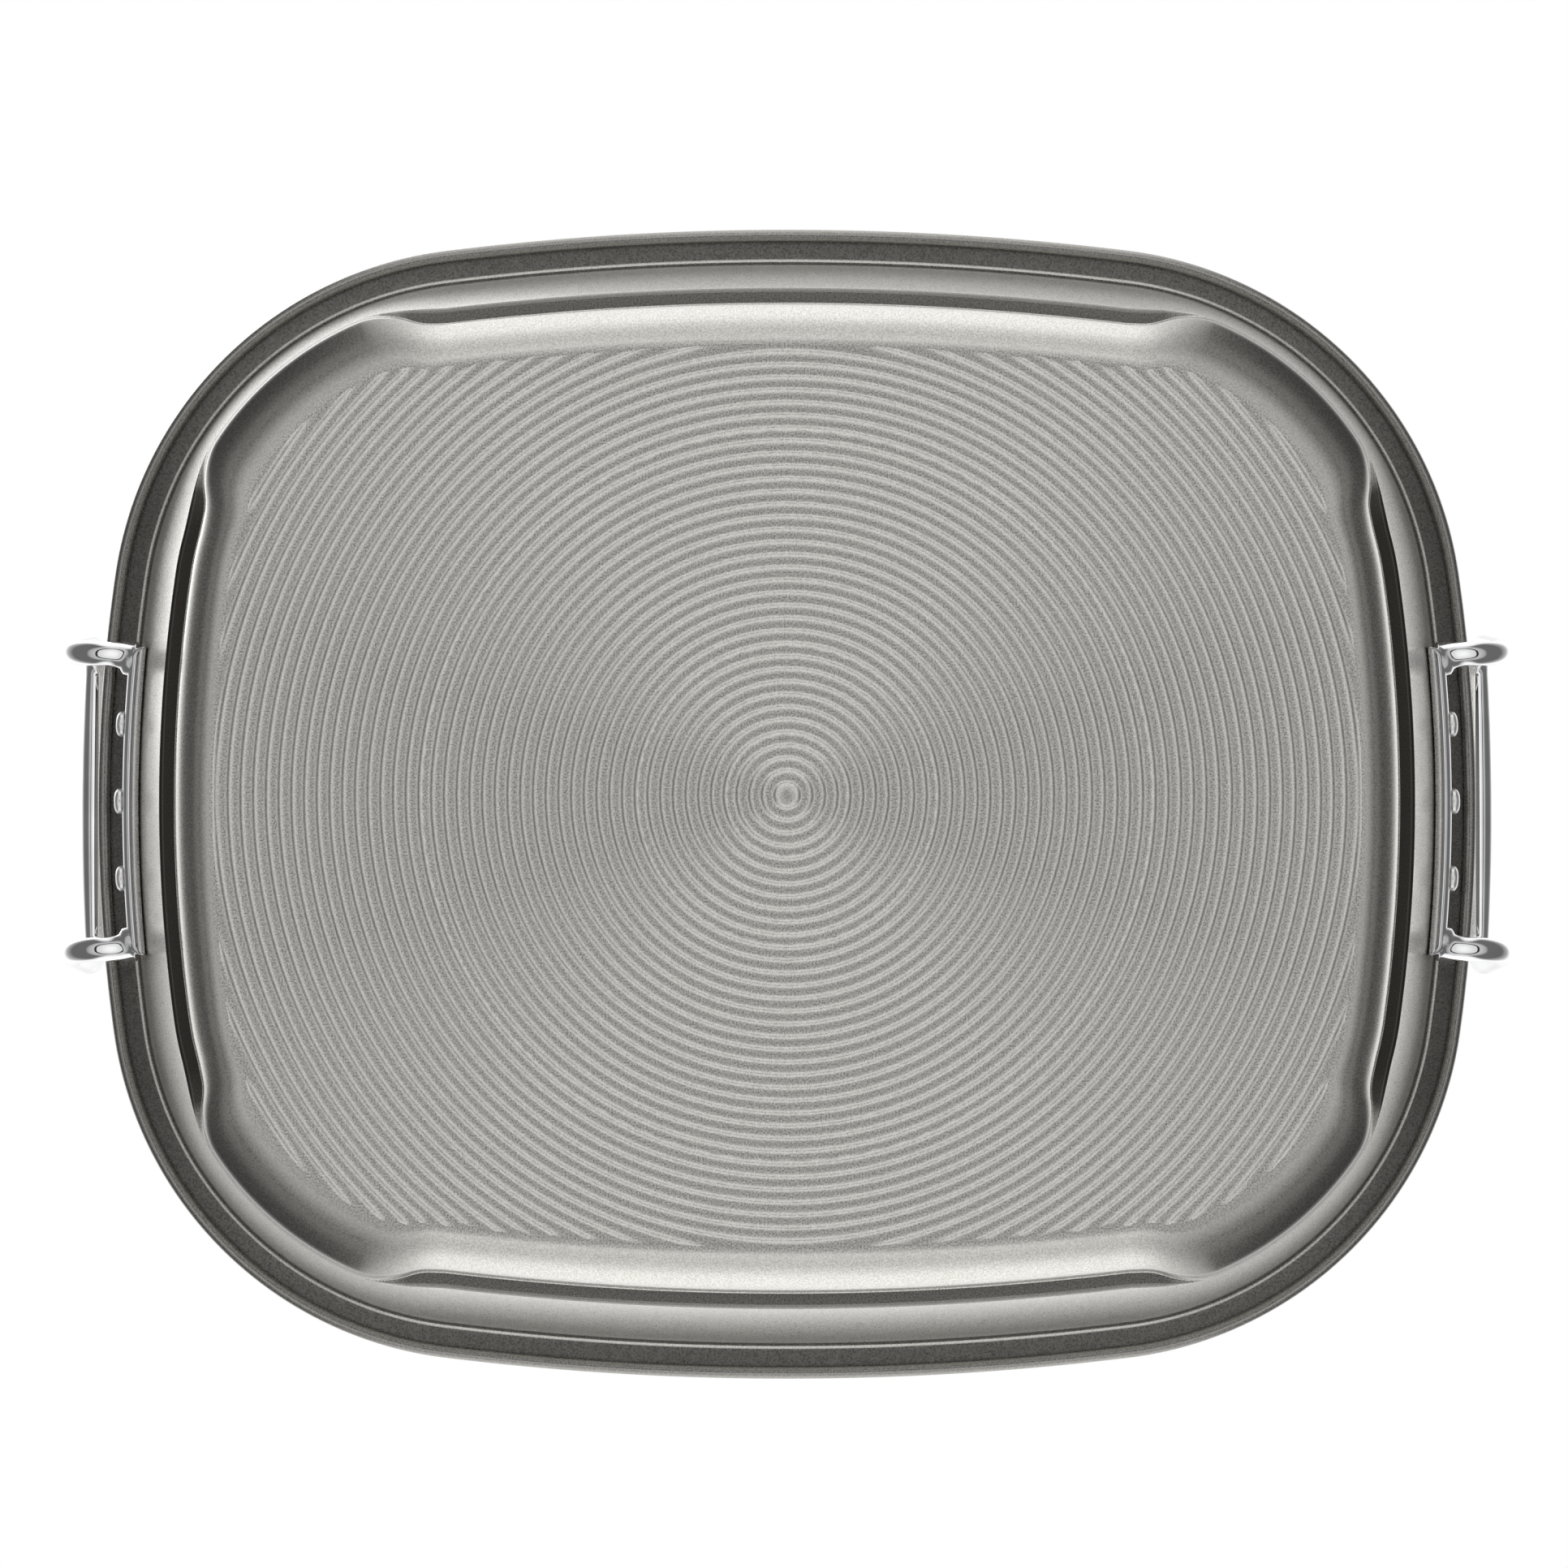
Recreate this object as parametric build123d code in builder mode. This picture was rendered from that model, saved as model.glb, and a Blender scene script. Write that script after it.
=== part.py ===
"""A roasting pan of pressed steel with two cast handles, and a wire rack that rests on its four wall ledges.

Millimetres. +Z is up, the pan stands on z = 0, X runs from handle to handle and Y across the pan.
"""

from build123d import *
import math
import os

os.makedirs("parts", exist_ok=True)

# Pan: the rim's outline is four long side arcs tangent to four corner arcs
RIM_LENGTH = 432.0
RIM_WIDTH = 360.6
LONG_SIDE_RADIUS = 876.0
SHORT_SIDE_RADIUS = 511.0
CORNER_RADIUS = 119.3
PAN_DEPTH = 80.0
SHEET = 0.8
WALL_DRAFT = 15.0
FLANGE_REACH = 10.3
FLANGE_BEND_RADIUS = 1.5
FLOOR_BEND_RADIUS = 8.0
BEAD_DIAMETER = 4.0
BEAD_SLOT = 0.4
RIM_WIRE_CLEARANCE = 0.05

# Ledges pressed into the four walls, low down, each ending in an S bend on the corner arcs
LEDGE_HEIGHT = 20.0
LEDGE_STEP = 5.2
LEDGE_HALF_LENGTH = 113.0
LEDGE_HALF_WIDTH = 88.5
LEDGE_OUTER_BEND = 15.0
LEDGE_INNER_BEND = 7.0
LEDGE_RELIEF = 0.05

# Rings pressed in the floor
RING_PITCH = 3.84
RING_WIDTH = 1.9
RING_DEPTH = 0.3
RING_MARGIN = 1.5

# Handles: a plate on the short wall, two arms under the rim, and a grip above it
PLATE_LENGTH = 96.0
PLATE_HEIGHT = 13.0
PLATE_TOP_THICKNESS = 2.6
PLATE_DROP = 13.5
PLATE_EDGE_RADIUS = 0.8
PLATE_CLEARANCE = 0.05
ARM_DIAMETER = 7.6
ARM_SPACING = 92.0
ARM_KNEE_RADIUS = 14.0
ARM_END = 1.0
KNEE_REACH = 10.4
GRIP_REACH = 3.5
GRIP_LENGTH = 102.0
GRIP_RISE = 28.0
GRIP_CORNER_RADIUS = 9.0
GRIP_DIAMETER = 10.0

# Rivets, three to a handle
RIVET_PITCH = 23.8
RIVET_COUNT = 3
SHANK_DIAMETER = 4.8
SHANK_CLEARANCE = 0.03
HEAD_DIAMETER = 8.1
HEAD_HEIGHT = 2.7
HEAD_CROWN = 0.9
INNER_HEAD_HEIGHT = 1.5
INNER_HEAD_CROWN = 0.5
HEAD_CLEARANCE = 0.05

# Rack: a round wire frame on the ledges, with bearers, cross wires and two folding handles
RACK_WALL_CLEARANCE = 0.8
SEAT_CLEARANCE = 0.3
FRAME_DIAMETER = 5.0
BEARER_DIAMETER = 4.0
BEARER_SPACING = 80.0
BEARER_COUNT = 3
CROSS_DIAMETER = 3.0
CROSS_SPACING = 20.0
CROSS_COUNT = 17
WELD_CLEARANCE = 0.05
BAIL_DIAMETER = 4.0
BAIL_WIDTH = 96.0
BAIL_LENGTH = 48.0
BAIL_CORNER_RADIUS = 14.0
BAIL_PIN_BEND = 6.0
BAIL_PIN_LENGTH = 20.0
EYE_DIAMETER = 6.4
EYE_LENGTH = 9.0
EYE_CLEARANCE = 0.05
EYE_END_MARGIN = 2.0

OVERRUN = 1.0

DRAFT_SLOPE = math.tan(math.radians(WALL_DRAFT))
SKIN_RUN = SHEET / math.cos(math.radians(WALL_DRAFT))
UP = (0, 0, 1)


def corner_centre():
    """The centre of the corner arc that touches both side arcs from inside."""
    long_centre = RIM_WIDTH / 2 - LONG_SIDE_RADIUS
    short_centre = RIM_LENGTH / 2 - SHORT_SIDE_RADIUS
    long_reach = LONG_SIDE_RADIUS - CORNER_RADIUS
    short_reach = SHORT_SIDE_RADIUS - CORNER_RADIUS
    apart = math.hypot(short_centre, long_centre)
    along = (long_reach**2 - short_reach**2 + apart**2) / (2 * apart)
    across = math.sqrt(long_reach**2 - along**2)
    east, north = short_centre / apart, -long_centre / apart
    return (east * along + north * across, long_centre + north * along - east * across)


CORNER_X, CORNER_Y = corner_centre()
LONG_CENTRE = RIM_WIDTH / 2 - LONG_SIDE_RADIUS
SHORT_CENTRE = RIM_LENGTH / 2 - SHORT_SIDE_RADIUS
SHORT_HALF_ANGLE = math.degrees(math.atan2(CORNER_Y, CORNER_X - SHORT_CENTRE))
LONG_HALF_ANGLE = math.degrees(math.atan2(CORNER_X, CORNER_Y - LONG_CENTRE))


def polar(centre, reach, angle):
    """The point at a reach and an angle in degrees from a centre."""
    turn = math.radians(angle)
    return (centre[0] + reach * math.cos(turn), centre[1] + reach * math.sin(turn))


def heading(start, end):
    """The angle in degrees of the line from start to end."""
    return math.degrees(math.atan2(end[1] - start[1], end[0] - start[0]))


def turn_between(start, end):
    """The turn in degrees from one angle to another, by the short way."""
    return (end - start + 180) % 360 - 180


def wall_run(height):
    """How far the wall's outer face lies inside the rim's edge at a height."""
    return FLANGE_REACH + (PAN_DEPTH - height) * DRAFT_SLOPE


def plain_arcs(inset):
    """The outline at an inset from the rim's edge, as (centre, radius, start angle, turn)."""
    long_radius = LONG_SIDE_RADIUS - inset
    short_radius = SHORT_SIDE_RADIUS - inset
    corner_radius = CORNER_RADIUS - inset
    corner_turn = 90 - LONG_HALF_ANGLE - SHORT_HALF_ANGLE
    long_start = 90 - LONG_HALF_ANGLE
    arcs = []
    for half_turn, side in ((0, 1), (180, -1)):
        arcs += [
            ((side * SHORT_CENTRE, 0), short_radius, half_turn - SHORT_HALF_ANGLE, 2 * SHORT_HALF_ANGLE),
            ((side * CORNER_X, side * CORNER_Y), corner_radius, half_turn + SHORT_HALF_ANGLE, corner_turn),
            ((0, side * LONG_CENTRE), long_radius, half_turn + long_start, 2 * LONG_HALF_ANGLE),
            (
                (-side * CORNER_X, side * CORNER_Y),
                corner_radius,
                half_turn + 90 + LONG_HALF_ANGLE,
                corner_turn,
            ),
        ]
    return arcs


def ledge_corner_arcs(centre, start, turn, inset, start_ledge, end_ledge):
    """One corner of the outline under the ledges: inset by the ledge's step at both ends, with S bends."""
    radius = CORNER_RADIUS - inset
    outer_reach = radius - LEDGE_OUTER_BEND
    inner_reach = radius - LEDGE_STEP + LEDGE_INNER_BEND
    bends = LEDGE_OUTER_BEND + LEDGE_INNER_BEND
    cosine = (outer_reach**2 + inner_reach**2 - bends**2) / (2 * outer_reach * inner_reach)
    bend_turn = math.degrees(math.acos(cosine))
    stepped = radius - LEDGE_STEP
    arcs = [(centre, stepped, start, start_ledge)]
    for at, way in ((start + start_ledge, 1), (start + turn - end_ledge, -1)):
        inner = polar(centre, inner_reach, at)
        outer = polar(centre, outer_reach, at + way * bend_turn)
        lean = heading(inner, outer)
        inner_turn = turn_between(at + 180, lean)
        outer_turn = turn_between(lean + 180, at + way * bend_turn)
        arcs.append((inner, LEDGE_INNER_BEND, at + 180, inner_turn))
        arcs.append((outer, LEDGE_OUTER_BEND, lean + 180, outer_turn))
    plain_turn = turn - start_ledge - end_ledge - 2 * bend_turn
    arcs.append((centre, radius, start + start_ledge + bend_turn, plain_turn))
    arcs.append((centre, stepped, start + turn - end_ledge, end_ledge))
    return arcs


def ledge_arcs(inset):
    """The outline just under the ledges, where the plain outline has an inset from the rim's edge."""
    stepped = CORNER_RADIUS - inset - LEDGE_STEP
    short_end = math.degrees(math.asin((LEDGE_HALF_WIDTH - CORNER_Y) / stepped)) - SHORT_HALF_ANGLE
    long_end = math.degrees(math.asin((LEDGE_HALF_LENGTH - CORNER_X) / stepped)) - LONG_HALF_ANGLE
    arcs = []
    for index, (centre, radius, start, turn) in enumerate(plain_arcs(inset)):
        if index % 2 == 0:
            arcs.append((centre, radius - LEDGE_STEP, start, turn))
        elif index % 4 == 1:
            arcs += ledge_corner_arcs(centre, start, turn, inset, short_end, long_end)
        else:
            arcs += ledge_corner_arcs(centre, start, turn, inset, long_end, short_end)
    return arcs


def outline_face(height, arcs):
    """A sketch at a height, bounded by the arcs of an outline."""
    with BuildSketch(Plane.XY.offset(height)) as outline:
        with BuildLine():
            for centre, radius, start, turn in arcs:
                CenterArc(centre, radius, min(start, start + turn), abs(turn))
        make_face()
    return outline.sketch


def outline_half_width(inset, x):
    """Half the outline's width across Y at a place along X, at an inset from the rim's edge."""
    if abs(x) < CORNER_X + (CORNER_RADIUS - inset) * math.sin(math.radians(LONG_HALF_ANGLE)):
        return LONG_CENTRE + math.sqrt((LONG_SIDE_RADIUS - inset) ** 2 - x**2)
    return CORNER_Y + math.sqrt((CORNER_RADIUS - inset) ** 2 - (abs(x) - CORNER_X) ** 2)


def outline_half_length(inset, y):
    """Half the outline's length along X at a place across Y, at an inset from the rim's edge."""
    if abs(y) < CORNER_Y + (CORNER_RADIUS - inset) * math.sin(math.radians(SHORT_HALF_ANGLE)):
        return SHORT_CENTRE + math.sqrt((SHORT_SIDE_RADIUS - inset) ** 2 - y**2)
    return CORNER_X + math.sqrt((CORNER_RADIUS - inset) ** 2 - (abs(y) - CORNER_Y) ** 2)


def section_plane(centre, angle):
    """The upright plane through an arc's axis, with its X pointing outward at an angle."""
    turn = math.radians(angle)
    return Plane(
        origin=(centre[0], centre[1], 0),
        x_dir=(math.cos(turn), math.sin(turn), 0),
        z_dir=(math.sin(turn), -math.cos(turn), 0),
    )


def pan_form(skin, top):
    """The pan filled up to a height: its outside at no skin, or its inside at the sheet's thickness."""
    skin_run = skin / math.cos(math.radians(WALL_DRAFT))
    ledge_top = LEDGE_HEIGHT + skin
    with BuildPart() as form:
        under_ledge = outline_face(ledge_top, ledge_arcs(wall_run(ledge_top) + skin_run + LEDGE_RELIEF))
        extrude(under_ledge, amount=skin - ledge_top, taper=WALL_DRAFT)
        fillet(form.edges().group_by(Axis.Z)[0], radius=FLOOR_BEND_RADIUS - skin)
        over_ledge = outline_face(top, plain_arcs(wall_run(top) + skin_run))
        extrude(over_ledge, amount=ledge_top - top, taper=WALL_DRAFT)
    return form.part


def outline_wire(inset, height, diameter):
    """A round wire bent along the outline at an inset from the rim's edge."""
    with BuildPart() as wire:
        for centre, radius, start, turn in plain_arcs(inset):
            with BuildSketch(section_plane(centre, start)):
                with Locations((radius, height)):
                    Circle(diameter / 2)
            revolve(axis=Axis((*centre, 0), UP), revolution_arc=turn)
    return wire.part


# Pan rim: the flange, bent out from the wall, and the bead rolled round its edge
BEAD_RADIUS = BEAD_DIAMETER / 2
BEAD_HEIGHT = PAN_DEPTH - BEAD_RADIUS
BEAD_BORE_RADIUS = BEAD_RADIUS - SHEET
FLANGE_BOTTOM = PAN_DEPTH - SHEET
INNER_BEND_RADIUS = FLANGE_BEND_RADIUS + SHEET
JOIN_HEIGHT = FLANGE_BOTTOM - 3 * FLANGE_BEND_RADIUS

FLOOR_INSET = wall_run(0) + LEDGE_STEP + FLOOR_BEND_RADIUS + RING_MARGIN
RING_COUNT = int((RIM_LENGTH / 2 - FLOOR_INSET) / RING_PITCH)


def floor_rings(height):
    """The ridges that the rings make over a plane of the floor, kept to its flat part."""
    with BuildPart() as rings:
        with BuildSketch(Plane.XZ):
            for number in range(1, RING_COUNT + 1):
                radius = number * RING_PITCH
                with BuildLine():
                    Polyline(
                        (radius - RING_WIDTH / 2, height),
                        (radius, height + RING_DEPTH),
                        (radius + RING_WIDTH / 2, height),
                        close=True,
                    )
                make_face()
        revolve(axis=Axis.Z)
        extrude(outline_face(height, plain_arcs(FLOOR_INSET)), amount=RING_DEPTH, mode=Mode.INTERSECT)
    return rings.part


with BuildPart() as pan_rim:
    for centre, radius, start, turn in plain_arcs(0):
        with BuildSketch(section_plane(centre, start)) as rim_section:
            with BuildLine():
                Polyline(
                    (radius - wall_run(JOIN_HEIGHT), JOIN_HEIGHT),
                    (radius - wall_run(FLANGE_BOTTOM), FLANGE_BOTTOM),
                    (radius - BEAD_RADIUS, FLANGE_BOTTOM),
                    (radius - BEAD_RADIUS, PAN_DEPTH),
                    (radius - wall_run(PAN_DEPTH) - SKIN_RUN, PAN_DEPTH),
                    (radius - wall_run(JOIN_HEIGHT) - SKIN_RUN, JOIN_HEIGHT),
                    close=True,
                )
            make_face()
            under_flange = rim_section.vertices().group_by(Axis.Y)[1]
            fillet(under_flange.sort_by(Axis.X)[0], radius=FLANGE_BEND_RADIUS)
            over_flange = rim_section.vertices().group_by(Axis.Y)[-1]
            fillet(over_flange.sort_by(Axis.X)[0], radius=INNER_BEND_RADIUS)
            with Locations((radius - BEAD_RADIUS, BEAD_HEIGHT)):
                Circle(BEAD_RADIUS)
                Circle(BEAD_BORE_RADIUS, mode=Mode.SUBTRACT)
            with Locations((radius - BEAD_RADIUS - BEAD_BORE_RADIUS / 2, FLANGE_BOTTOM)):
                Rectangle(BEAD_RADIUS, BEAD_SLOT, align=(Align.MAX, Align.MAX), mode=Mode.SUBTRACT)
        revolve(axis=Axis((*centre, 0), UP), revolution_arc=turn)

# Rim wire: rolled into the bead
rim_wire = outline_wire(BEAD_RADIUS, BEAD_HEIGHT, 2 * (BEAD_BORE_RADIUS - RIM_WIRE_CLEARANCE))

# Rivets: each has a crowned head over the handle's plate and a flat one inside the pan
PLATE_MIDDLE = FLANGE_BOTTOM - PLATE_DROP
PLATE_WALL_RADIUS = SHORT_SIDE_RADIUS - wall_run(PLATE_MIDDLE)
NORMAL_OUT = math.cos(math.radians(WALL_DRAFT))
NORMAL_DOWN = math.sin(math.radians(WALL_DRAFT))
PLATE_TOP = PLATE_MIDDLE + PLATE_HEIGHT / 2
PLATE_BOTTOM = PLATE_MIDDLE - PLATE_HEIGHT / 2
PLATE_GAP_RUN = PLATE_CLEARANCE / math.cos(math.radians(WALL_DRAFT))
PLATE_FACE_RADIUS = SHORT_SIDE_RADIUS - wall_run(PLATE_TOP) + PLATE_GAP_RUN + PLATE_TOP_THICKNESS


def rivet_plane(side, place):
    """The plane on the short wall's outer face at a rivet, with its Z pointing out of the wall."""
    turn = math.asin(place / PLATE_WALL_RADIUS)
    east, north = math.cos(turn), math.sin(turn)
    return Plane(
        origin=(side * (SHORT_CENTRE + PLATE_WALL_RADIUS * east), place, PLATE_MIDDLE),
        x_dir=(side * -north, east, 0),
        z_dir=(side * NORMAL_OUT * east, NORMAL_OUT * north, -NORMAL_DOWN),
    )


def head_plane(plane):
    """The upright plane on the plate's outer face where a rivet's axis comes out."""
    axis = plane.z_dir
    level = Vector(axis.X, axis.Y, 0).normalized()
    reach = (PLATE_FACE_RADIUS - PLATE_WALL_RADIUS) / NORMAL_OUT
    return Plane(origin=plane.origin + axis * reach, x_dir=plane.x_dir, z_dir=level)


def rivet(plane):
    """One set rivet: its outer head on the plate's upright face, its shank square to the wall."""
    inner_seat = SHEET + HEAD_CLEARANCE
    outer = head_plane(plane)
    with BuildPart() as fastener:
        with BuildSketch(outer.offset(HEAD_CLEARANCE)):
            Circle(HEAD_DIAMETER / 2)
        extrude(amount=HEAD_HEIGHT)
        fillet(fastener.edges().sort_by(Axis(outer.origin, outer.z_dir))[-1], radius=HEAD_CROWN)
        with BuildSketch(plane.offset(-inner_seat - INNER_HEAD_HEIGHT)):
            Circle(HEAD_DIAMETER / 2)
        extrude(amount=INNER_HEAD_HEIGHT)
        fillet(fastener.edges().sort_by(Axis(plane.origin, plane.z_dir))[0], radius=INNER_HEAD_CROWN)
        with BuildSketch(plane.offset(-inner_seat)):
            Circle(SHANK_DIAMETER / 2)
        extrude(amount=inner_seat + (outer.origin - plane.origin).length + HEAD_HEIGHT / 2)
    return fastener.part


ROW_NAMES = ("front", "middle", "rear")
SIDES = (("left", -1), ("right", 1))
rivets = {}
rivet_holes = []
for side_name, side in SIDES:
    for row in range(RIVET_COUNT):
        place = (row - (RIVET_COUNT - 1) / 2) * RIVET_PITCH
        rivets[f"rivet_{side_name}_{ROW_NAMES[row]}"] = rivet(rivet_plane(side, place))
        with BuildPart() as rivet_hole:
            with BuildSketch(rivet_plane(side, place).offset(-SHEET - OVERRUN)):
                Circle(SHANK_DIAMETER / 2 + SHANK_CLEARANCE)
            extrude(amount=SHEET + PLATE_FACE_RADIUS - PLATE_WALL_RADIUS + 3 * OVERRUN)
        rivet_holes.append(rivet_hole.part)

# Pan body: the pressed shell with its rim, its floor rings and the holes for the rivets
pan_outside = pan_form(0, JOIN_HEIGHT)
pan_inside = pan_form(SHEET, JOIN_HEIGHT)
ring_grooves = floor_rings(0)
ring_ridges = floor_rings(SHEET)

with BuildPart() as pan_body:
    add(pan_outside)
    add(pan_inside, mode=Mode.SUBTRACT)
    add(pan_rim.part)
    add(ring_grooves, mode=Mode.SUBTRACT)
    add(ring_ridges)
    add(rivet_holes, mode=Mode.SUBTRACT)

# Handles: plate on the wall, arms out under the bead and up, and a swelled grip over the rim
ARM_PLACE = ARM_SPACING / 2
ARM_ROOT = outline_half_length(wall_run(PLATE_MIDDLE + ARM_DIAMETER / 2), ARM_PLACE) + 2 * PLATE_CLEARANCE
KNEE_X = RIM_LENGTH / 2 + KNEE_REACH
GRIP_X = RIM_LENGTH / 2 + GRIP_REACH
GRIP_HEIGHT = PAN_DEPTH + GRIP_RISE
ARM_RISE = Vector(GRIP_X - KNEE_X, GRIP_LENGTH / 2 - ARM_PLACE, GRIP_HEIGHT - PLATE_MIDDLE)
GRIP_TURN = ARM_RISE.get_angle(Vector(0, -1, 0))
GRIP_STRAIGHT = GRIP_LENGTH / 2 - GRIP_CORNER_RADIUS * math.tan(math.radians(GRIP_TURN / 2)) - ARM_END
PLATE_HALF_ANGLE = math.degrees(math.asin(PLATE_LENGTH / 2 / PLATE_WALL_RADIUS))

with BuildPart() as handle_right:
    with BuildSketch(section_plane((SHORT_CENTRE, 0), -PLATE_HALF_ANGLE)) as plate_section:
        with BuildLine():
            Polyline(
                (SHORT_SIDE_RADIUS - wall_run(PLATE_BOTTOM) + PLATE_GAP_RUN, PLATE_BOTTOM),
                (PLATE_FACE_RADIUS, PLATE_BOTTOM),
                (PLATE_FACE_RADIUS, PLATE_TOP),
                (SHORT_SIDE_RADIUS - wall_run(PLATE_TOP) + PLATE_GAP_RUN, PLATE_TOP),
                close=True,
            )
        make_face()
        fillet(plate_section.vertices(), radius=PLATE_EDGE_RADIUS)
    revolve(axis=Axis((SHORT_CENTRE, 0, 0), UP), revolution_arc=2 * PLATE_HALF_ANGLE)
    for side in (1, -1):
        with BuildLine() as arm:
            FilletPolyline(
                (ARM_ROOT, side * ARM_PLACE, PLATE_MIDDLE),
                (KNEE_X, side * ARM_PLACE, PLATE_MIDDLE),
                (GRIP_X, side * GRIP_LENGTH / 2, GRIP_HEIGHT),
                (GRIP_X, side * GRIP_STRAIGHT, GRIP_HEIGHT),
                radius=(ARM_KNEE_RADIUS, GRIP_CORNER_RADIUS),
            )
        with BuildSketch(Plane(origin=arm.line @ 0, z_dir=arm.line % 0)):
            Circle(ARM_DIAMETER / 2)
        sweep(path=arm.line)
    with BuildSketch(Plane.XY.offset(GRIP_HEIGHT)):
        with BuildLine():
            ThreePointArc(
                (GRIP_X + ARM_DIAMETER / 2, -GRIP_STRAIGHT),
                (GRIP_X + GRIP_DIAMETER / 2, 0),
                (GRIP_X + ARM_DIAMETER / 2, GRIP_STRAIGHT),
            )
            Polyline(
                (GRIP_X + ARM_DIAMETER / 2, GRIP_STRAIGHT),
                (GRIP_X, GRIP_STRAIGHT),
                (GRIP_X, -GRIP_STRAIGHT),
                (GRIP_X + ARM_DIAMETER / 2, -GRIP_STRAIGHT),
            )
        make_face()
    revolve(axis=Axis((GRIP_X, 0, GRIP_HEIGHT), (0, 1, 0)))
    add(rivet_holes[RIVET_COUNT:], mode=Mode.SUBTRACT)

with BuildPart() as handle_left:
    add(mirror(handle_right.part, about=Plane.YZ, mode=Mode.PRIVATE))

# Rack frame: a closed wire that follows the walls and rests on the ledges
FRAME_RADIUS = FRAME_DIAMETER / 2
FRAME_HEIGHT = LEDGE_HEIGHT + SHEET + SEAT_CLEARANCE + FRAME_RADIUS
FRAME_INSET = wall_run(FRAME_HEIGHT) + SKIN_RUN + (FRAME_RADIUS + RACK_WALL_CLEARANCE) / NORMAL_OUT
FRAME_TOP = FRAME_HEIGHT + FRAME_RADIUS
rack_frame = outline_wire(FRAME_INSET, FRAME_HEIGHT, FRAME_DIAMETER)

# Rack bearers: long wires that butt against the frame's ends, under the cross wires
BEARER_HEIGHT = FRAME_TOP - BEARER_DIAMETER / 2
bearers = {}
for row in range(BEARER_COUNT):
    place = (row - (BEARER_COUNT - 1) / 2) * BEARER_SPACING
    end = outline_half_length(FRAME_INSET + FRAME_RADIUS + WELD_CLEARANCE, abs(place) + BEARER_DIAMETER / 2)
    with BuildPart() as bearer:
        with BuildSketch(Plane.YZ.offset(-end)):
            with Locations((place, BEARER_HEIGHT)):
                Circle(BEARER_DIAMETER / 2)
        extrude(amount=2 * end)
    bearers[f"rack_bearer_{ROW_NAMES[row]}"] = bearer.part

# Rack cross wires: from side to side over the frame and the bearers
CROSS_HEIGHT = FRAME_TOP + WELD_CLEARANCE + CROSS_DIAMETER / 2
CROSS_TOP = CROSS_HEIGHT + CROSS_DIAMETER / 2
cross_wires = {}
for number in range(CROSS_COUNT):
    place = (number - (CROSS_COUNT - 1) / 2) * CROSS_SPACING
    end = outline_half_width(FRAME_INSET, place)
    with BuildPart() as cross_wire:
        with BuildSketch(Plane.XZ.offset(-end)):
            with Locations((place, CROSS_HEIGHT)):
                Circle(CROSS_DIAMETER / 2)
        extrude(amount=2 * end)
    cross_wires[f"rack_cross_wire_{number + 1:02d}"] = cross_wire.part

# Folding rack handles: a bail at each end, its pins turning in two eyes on the last cross wire
PIVOT_X = (CROSS_COUNT - 1) / 2 * CROSS_SPACING
PIVOT_HEIGHT = CROSS_TOP + WELD_CLEARANCE + EYE_DIAMETER / 2
BAIL_REST_DROP = PIVOT_HEIGHT - CROSS_TOP - SEAT_CLEARANCE - BAIL_DIAMETER / 2
BAIL_TILT = math.asin(BAIL_REST_DROP / BAIL_LENGTH)
BAIL_PLACE = BAIL_WIDTH / 2
EYE_START = BAIL_PLACE + BAIL_PIN_BEND + EYE_END_MARGIN

rack_eyes = {}
rack_handles = {}
for side_name, side in SIDES:
    bail_plane = Plane(
        origin=(side * PIVOT_X, 0, PIVOT_HEIGHT),
        x_dir=(-side * math.cos(BAIL_TILT), 0, -math.sin(BAIL_TILT)),
        z_dir=(-side * math.sin(BAIL_TILT), 0, math.cos(BAIL_TILT)),
    )
    with BuildPart() as bail:
        with BuildLine(bail_plane) as bail_line:
            FilletPolyline(
                (0, BAIL_PLACE + BAIL_PIN_LENGTH),
                (0, BAIL_PLACE),
                (BAIL_LENGTH, BAIL_PLACE),
                (BAIL_LENGTH, -BAIL_PLACE),
                (0, -BAIL_PLACE),
                (0, -BAIL_PLACE - BAIL_PIN_LENGTH),
                radius=(BAIL_PIN_BEND, BAIL_CORNER_RADIUS, BAIL_CORNER_RADIUS, BAIL_PIN_BEND),
            )
        with BuildSketch(Plane(origin=bail_line.line @ 0, z_dir=bail_line.line % 0)):
            Circle(BAIL_DIAMETER / 2)
        sweep(path=bail_line.line)
    rack_handles[f"rack_handle_{side_name}"] = bail.part
    for row_name, way in (("front", 1), ("rear", -1)):
        with BuildPart() as eye:
            with BuildSketch(Plane.XZ.offset(way * (EYE_START + EYE_LENGTH / 2))):
                with Locations((side * PIVOT_X, PIVOT_HEIGHT)):
                    Circle(EYE_DIAMETER / 2)
                    Circle(BAIL_DIAMETER / 2 + EYE_CLEARANCE, mode=Mode.SUBTRACT)
            extrude(amount=EYE_LENGTH / 2, both=True)
        rack_eyes[f"rack_eye_{side_name}_{row_name}"] = eye.part

# Every piece is written under its own name
pieces = {
    "pan_body": pan_body.part,
    "rim_wire": rim_wire,
    "handle_left": handle_left.part,
    "handle_right": handle_right.part,
    "rack_frame": rack_frame,
    **rivets,
    **bearers,
    **cross_wires,
    **rack_eyes,
    **rack_handles,
}
for piece_name, piece in pieces.items():
    piece.label = piece_name
    export_step(piece, f"parts/{piece_name}.step")
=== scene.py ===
"""The looks of a roasting pan with a wire rack: its coated shell, its polished handles, its rivets and its rack.

Everything is in metres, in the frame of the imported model: +Z is up, the pan stands on z = 0 and X runs from
handle to handle. The camera is under the pan and looks up, so it sees the underside.
"""

import logging
import math
from collections.abc import Mapping, Sequence
from dataclasses import dataclass, field
from enum import Enum
from functools import cached_property
from typing import NamedTuple, Protocol

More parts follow.
